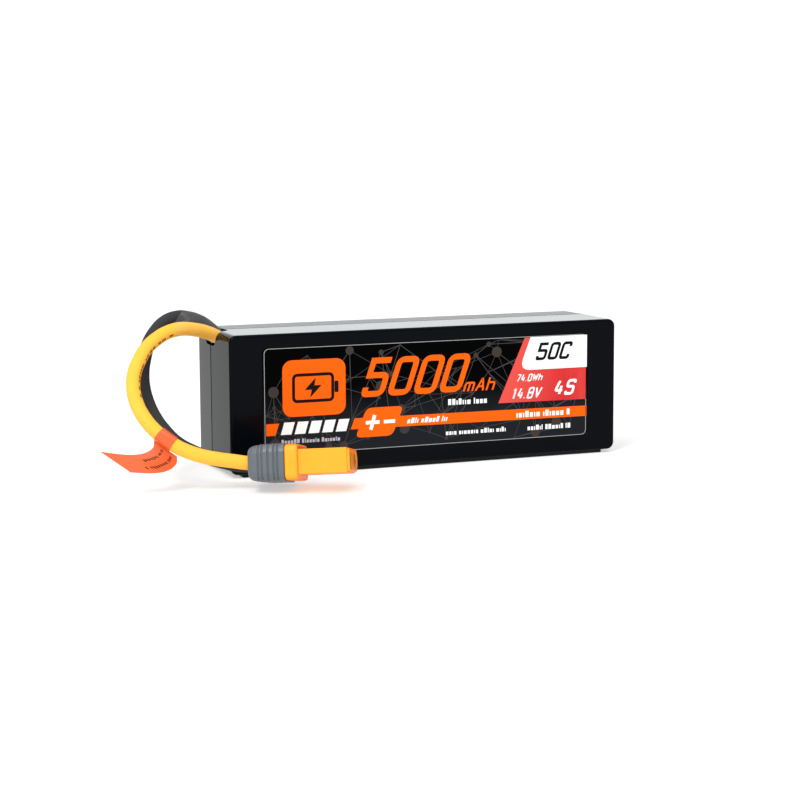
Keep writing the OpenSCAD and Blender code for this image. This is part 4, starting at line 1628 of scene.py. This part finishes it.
@dataclass
class Print:
    """Printed artwork on one face of the pack, laid down in thin layers."""

    side: int
    name: str
    slot: str = "printed_film"
    film_y: float = 17.35
    shift: float = 1.0
    stretch: float = 1.0086
    label_x: float = 0.2
    step: float = 0.02
    cross: float = 0.004
    net_spots: int = 74
    net_gap: float = 3.6
    net_lines: tuple[float, ...] = (0.14, 0.18, 0.22)
    net_dots: tuple[float, ...] = (0.2, 0.25, 0.3, 0.4, 0.6, 0.9, 1.5, 1.8)

    def place(self, u: float, v: float, height: float) -> Vector:
        """Point of the face: u to the reader's right, v above the case's lower edge."""
        x = self.label_x - self.side * u * self.stretch
        return Vector((x, self.side * (self.film_y + height), v + self.shift))

    def finish(self, part: str, work: Mesh, ink: Finish) -> None:
        """Turns the collected plates into one piece of a colour."""
        put(work.build(f"{self.name}_{part}", [ink]), self.slot)

    def span(self, layer: int) -> tuple[float, float]:
        """Lower and upper height of a layer."""
        return -0.01, self.step * layer

    def plate(self, work: Mesh, outline: Sequence[Point], layer: int) -> None:
        """Adds a filled shape to a layer."""
        low, high = self.span(layer)
        work.prism(outline, self.place, low, high)

    def stroke(
        self, work: Mesh, line: Sequence[Point], width: float, closed: bool, layer: int, lift: float = 0.0
    ) -> None:
        """Adds a line to a layer.

        Args:
            work: the plates of one colour.
            line: the line's points.
            width: its width.
            closed: whether it is a loop.
            layer: the layer's number.
            lift: extra height over strokes that it crosses.
        """
        low, high = self.span(layer)
        work.ribbon(line, width, closed, self.place, low, high + lift)

    def write(
        self, work: Mesh, text: str, left: float, base: float, length: float, height: float,
        width: float, layer: int, slant: float = 0.34, gap: float = 0.42,
    ) -> None:
        """Draws figures and unit letters with plain squared strokes.

        Args:
            work: the plates of one colour.
            text: what is written.
            left: left end of the foot line.
            base: foot of the letters.
            length: whole length, with the slant.
            height: height of a capital.
            width: width of a stroke.
            layer: the layer's number.
            slant: sideways lean for each unit of height.
            gap: space between letters as a share of a letter's width.
        """
        low, high = self.span(layer)

        def leaning(u: float, v: float, h: float) -> Vector:
            """Point of the face for upright letters, leant over."""
            return self.place(u + (v - base) * slant, v, h)

        units = sum(NARROW.get(letter, 1.0) for letter in text) + gap * (len(text) - 1)
        unit = (length - slant * height - width) / units
        at = left + width / 2
        for letter in text:
            wide = unit * NARROW.get(letter, 1.0)
            for k, (closed, points) in enumerate(GLYPHS[letter]):
                line = [(at + x * wide, base + y * (height - width) + width / 2) for x, y in points]
                soft = rounded(line, min(unit * 0.3, height * 0.18), closed)
                work.ribbon(soft, width, closed, leaning, low, high + self.cross * k)
            at += wide + gap * unit

    def greek(
        self, work: Mesh, left: float, right: float, base: float, height: float, seed: int,
        slant: float = 0.0,
    ) -> None:
        """Draws a row of small plain blocks in place of small words.

        Args:
            work: the plates of one colour.
            left: left end of the row.
            right: right end of the row.
            base: foot of the blocks.
            height: height of the tallest.
            seed: start of the random sizes.
            slant: sideways lean for each unit of height.
        """
        chance = random.Random(seed)
        at = left
        letters = chance.randint(3, 7)
        while at < right - height * 0.5:
            wide = height * chance.choice((0.22, 0.5, 0.55, 0.6))
            tall = height * chance.choice((0.72, 0.72, 1.0))
            lean = tall * slant
            top = base + tall
            self.plate(work, [(at, base), (at + wide, base), (at + wide + lean, top), (at + lean, top)], 3)
            letters -= 1
            at += wide + height * (0.2 if letters else 0.6)
            letters = letters or chance.randint(3, 7)

    def network(self, width: float, low: float, high: float, seed: int) -> None:
        """Draws a random net of thin lines with soft dots where they meet.

        Args:
            width: half of the net's width.
            low: its lower edge.
            high: its upper edge.
            seed: start of the random places.
        """
        chance = random.Random(seed)
        lines, dots = Mesh(), Mesh()
        spots: list[Vector] = []
        while len(spots) < self.net_spots:
            spot = Vector((chance.uniform(-width, width), chance.uniform(low, high)))
            if all((spot - other).length > self.net_gap for other in spots):
                spots.append(spot)
        pairs = set()
        for i, spot in enumerate(spots):
            near = sorted(range(len(spots)), key=lambda j: (spots[j] - spot).length)
            picks = near[1:3] + [near[chance.randint(6, 20)] for _ in range(chance.choice((0, 1, 2)))]
            pairs.update((min(i, j), max(i, j)) for j in picks)
        for k, (i, j) in enumerate(sorted(pairs)):
            thick = chance.choice(self.net_lines)
            self.stroke(lines, [tuple(spots[i]), tuple(spots[j])], thick, False, 1, 0.0002 * (k % 20))
        for spot in spots:
            reach = [chance.choice(self.net_dots), width - abs(spot.x), high - spot.y, spot.y - low]
            radius = max(self.net_dots[0], min(reach))
            turns = [2 * math.pi * k / 24 for k in range(24)]
            circle = [(spot.x + radius * math.cos(t), spot.y + radius * math.sin(t)) for t in turns]
            low_h, _ = self.span(1)
            dots.prism(circle, self.place, low_h, self.step + 0.006)
        self.finish("network", lines, NETWORK_LINE)
        self.finish("network_dots", dots, NETWORK_DOT)

    def rim(self) -> None:
        """Draws the thin pale line round the film's edge: a painted highlight for the light caught at the
        edge of the label's recess.
        """
        work = Mesh()
        outline = [(u, v + 23.3) for u, v in round_rect(115.0, 34.6, 1.6, 6)]
        self.stroke(work, outline, 0.17, True, 2)
        self.finish("rim", work, RIM_HIGHLIGHT_INK)


@dataclass
class FrontPrint(Print):
    """Artwork of the front: badge, capacity, stripe and the ratings panel."""

    side: int = -1
    name: str = "front"

    def oranges(self) -> None:
        """Draws everything orange: badge, capacity, stripe and the pole plate."""
        work = Mesh()
        self.plate(work, [(u - 40.65, v + 27.35) for u, v in round_rect(21.6, 18.5, 3.2, 6)], 2)
        self.write(work, "5000", -24.9, 23.2, 40.1, 12.9, 1.95, 3, gap=0.5)
        self.write(work, "mAh", 11.6, 22.9, 12.8, 4.9, 0.65, 3, gap=0.55)
        self.plate(work, [(-57.1, 12.3), (-54.0, 12.3), (-52.7, 16.2), (-57.1, 16.2)], 2)
        self.plate(work, [(-28.2, 12.8), (57.8, 12.3), (57.8, 15.9), (-26.8, 16.4)], 2)
        plate = rounded([(-26.6, 9.9), (-13.6, 9.9), (-9.6, 19.6), (-22.6, 19.6)], 2.0, True)
        self.plate(work, plate, 3)
        self.finish("orange", work, ORANGE_INK)

    def badge(self) -> None:
        """Draws the badge's own pictogram: a battery outline with a bolt."""
        work = Mesh()
        shell = [(u - 41.0, v + 27.35) for u, v in round_rect(13.4, 8.6, 1.2, 4)]
        self.stroke(work, shell, 1.0, True, 3)
        self.plate(work, [(u - 33.0, v + 27.35) for u, v in round_rect(1.4, 3.8, 0.4, 3)], 3)
        bolt = [(-40.1, 30.6), (-43.9, 26.7), (-41.5, 26.7), (-42.1, 24.1), (-38.1, 28.1), (-40.6, 28.1)]
        self.plate(work, bolt, 3)
        self.finish("badge", work, BLACK_INK)

    def panel(self) -> None:
        """Draws the slanted red panel and the white box in its corner."""
        red = Mesh()
        self.plate(red, [(24.7, 18.5), (57.6, 18.2), (57.6, 40.3), (34.4, 40.3)], 2)
        self.finish("red_panel", red, RED_INK)
        white = Mesh()
        turn = rounded([(36.6, 40.4), (32.3, 29.3), (42.0, 29.3)], 4.2, False)
        self.plate(white, [*turn, (57.8, 29.3), (57.8, 40.4)], 3)
        self.finish("white_box", white, WHITE_INK)
        black = Mesh()
        self.write(black, "50C", 38.2, 32.4, 14.5, 6.0, 1.0, 4, gap=0.55)
        self.finish("rating", black, BLACK_INK)

    def whites(self) -> None:
        """Draws everything white or grey over the dark ground and the panel."""
        work = Mesh()
        self.write(work, "74.0Wh", 31.1, 25.4, 10.5, 2.6, 0.38, 4, gap=0.6)
        self.write(work, "14.8V", 29.1, 19.5, 12.2, 3.9, 0.55, 4, gap=0.6)
        self.write(work, "4S", 44.9, 20.0, 9.4, 5.4, 0.9, 4, gap=0.6)
        for k in range(5):
            left = -52.2 + 4.7 * k
            self.plate(work, [(left, 12.4), (left + 3.6, 12.4), (left + 4.8, 16.4), (left + 1.2, 16.4)], 3)
        poles = (
            ((-22.9, 14.7), (-18.1, 14.7)),
            ((-19.8, 17.1), (-21.2, 12.3)),
            ((-16.6, 14.7), (-12.6, 14.7)),
        )
        for k, line in enumerate(poles):
            self.stroke(work, line, 1.2, False, 4, self.cross * k)
        self.greek(work, -8.4, 6.4, 13.6, 1.8, 3, 0.3)
        for row in (
            (31.4, 52.8, 13.2, 2.1, 6), (6.4, 21.4, 18.9, 2.0, 5), (5.6, 28.0, 8.8, 1.6, 8),
            (35.6, 52.2, 8.6, 1.7, 9),
        ):
            self.greek(work, *row)
        self.finish("white", work, WHITE_INK)
        grey = Mesh()
        self.greek(grey, -52.0, -30.5, 9.4, 1.4, 12)
        self.finish("grey", grey, GREY_INK)

    def build(self) -> None:
        """Draws the whole front."""
        self.rim()
        self.network(57.2, 6.2, 40.3, 21)
        self.oranges()
        self.badge()
        self.panel()
        self.whites()


@dataclass
class RearPrint(Print):
    """Plainer artwork of the rear: a stripe, the voltage and rows of blocks."""

    side: int = 1
    name: str = "rear"

    def build(self) -> None:
        """Draws the whole rear."""
        self.rim()
        self.network(57.2, 6.2, 40.3, 33)
        orange = Mesh()
        self.plate(orange, [(-57.4, 34.2), (57.4, 34.2), (57.4, 37.4), (-57.4, 37.4)], 2)
        self.write(orange, "14.8V", -52.0, 22.4, 26.0, 8.4, 1.3, 3)
        self.finish("orange", orange, ORANGE_INK)
        work = Mesh()
        for k in range(6):
            self.greek(work, -14.0, 26.0 - 3.0 * (k % 3), 29.0 - 3.6 * k, 1.3, 40 + k)
        for k in range(4):
            self.greek(work, 34.0, 52.0 - 2.0 * (k % 2), 29.0 - 3.6 * k, 1.3, 60 + k)
        self.greek(work, -52.0, -28.0, 16.0, 1.3, 70)
        self.greek(work, -52.0, -31.0, 12.4, 1.3, 71)
        self.finish("white", work, WHITE_INK)


@dataclass
class Inside:
    """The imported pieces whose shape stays, each with its finish."""

    finishes: dict[str, Finish] = field(default_factory=lambda: {
        "front_label": FILM_GROUND,
        "rear_label": FILM_GROUND,
        "cell_1": FOIL,
        "cell_2": FOIL,
        "cell_3": FOIL,
        "cell_4": FOIL,
        "cell_pads": PAD_FOAM,
        "stack_tape": AMBER_TAPE,
        "side_foam": PACKING_FOAM,
        "base_foam": PACKING_FOAM,
        "end_foam": PACKING_FOAM,
        "positive_tabs": ALUMINIUM,
        "negative_tabs": NICKEL,
        "tab_board": BOARD,
        "series_links": NICKEL,
        "tab_solder": SOLDER,
        "lead_cores": COPPER,
        "lead_solder": SOLDER,
        "management_board": BOARD,
        "board_chips": CHIP,
        "balance_resistors": CHIP,
        "board_pins": GOLD,
        "temperature_sensor": CHIP,
        "insulating_card": CARD,
        "positive_contact": GOLD,
        "negative_contact": GOLD,
        "contact_solder": SOLDER,
    })

    def build(self, nodes: dict[str, bpy.types.Object]) -> None:
        """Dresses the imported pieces.

        Args:
            nodes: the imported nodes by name.
        """
        for name, finish in self.finishes.items():
            piece = nodes[name]
            piece.data.materials.clear()
            piece.data.materials.append(finish.material())
            log.info("dressed %s", name)


def main() -> None:
    """Builds the pack around its frame, piece by piece."""
    logging.basicConfig(level=logging.INFO, format="%(message)s")
    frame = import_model()
    studio = Studio()
    studio.camera()
    leads = Leads()
    yellow, black, lead_print = leads.build()
    sleeve = Sleeve().build()
    tag = Tag().build()
    plug = Connector().build()
    leads.declare(yellow, POSITIVE_ROUTE)
    leads.declare(black, NEGATIVE_ROUTE)
    Case().build()
    FrontPrint().build()
    RearPrint().build()
    Inside().build(frame["nodes"])
    studio.build()


if __name__ == "__main__":
    main()
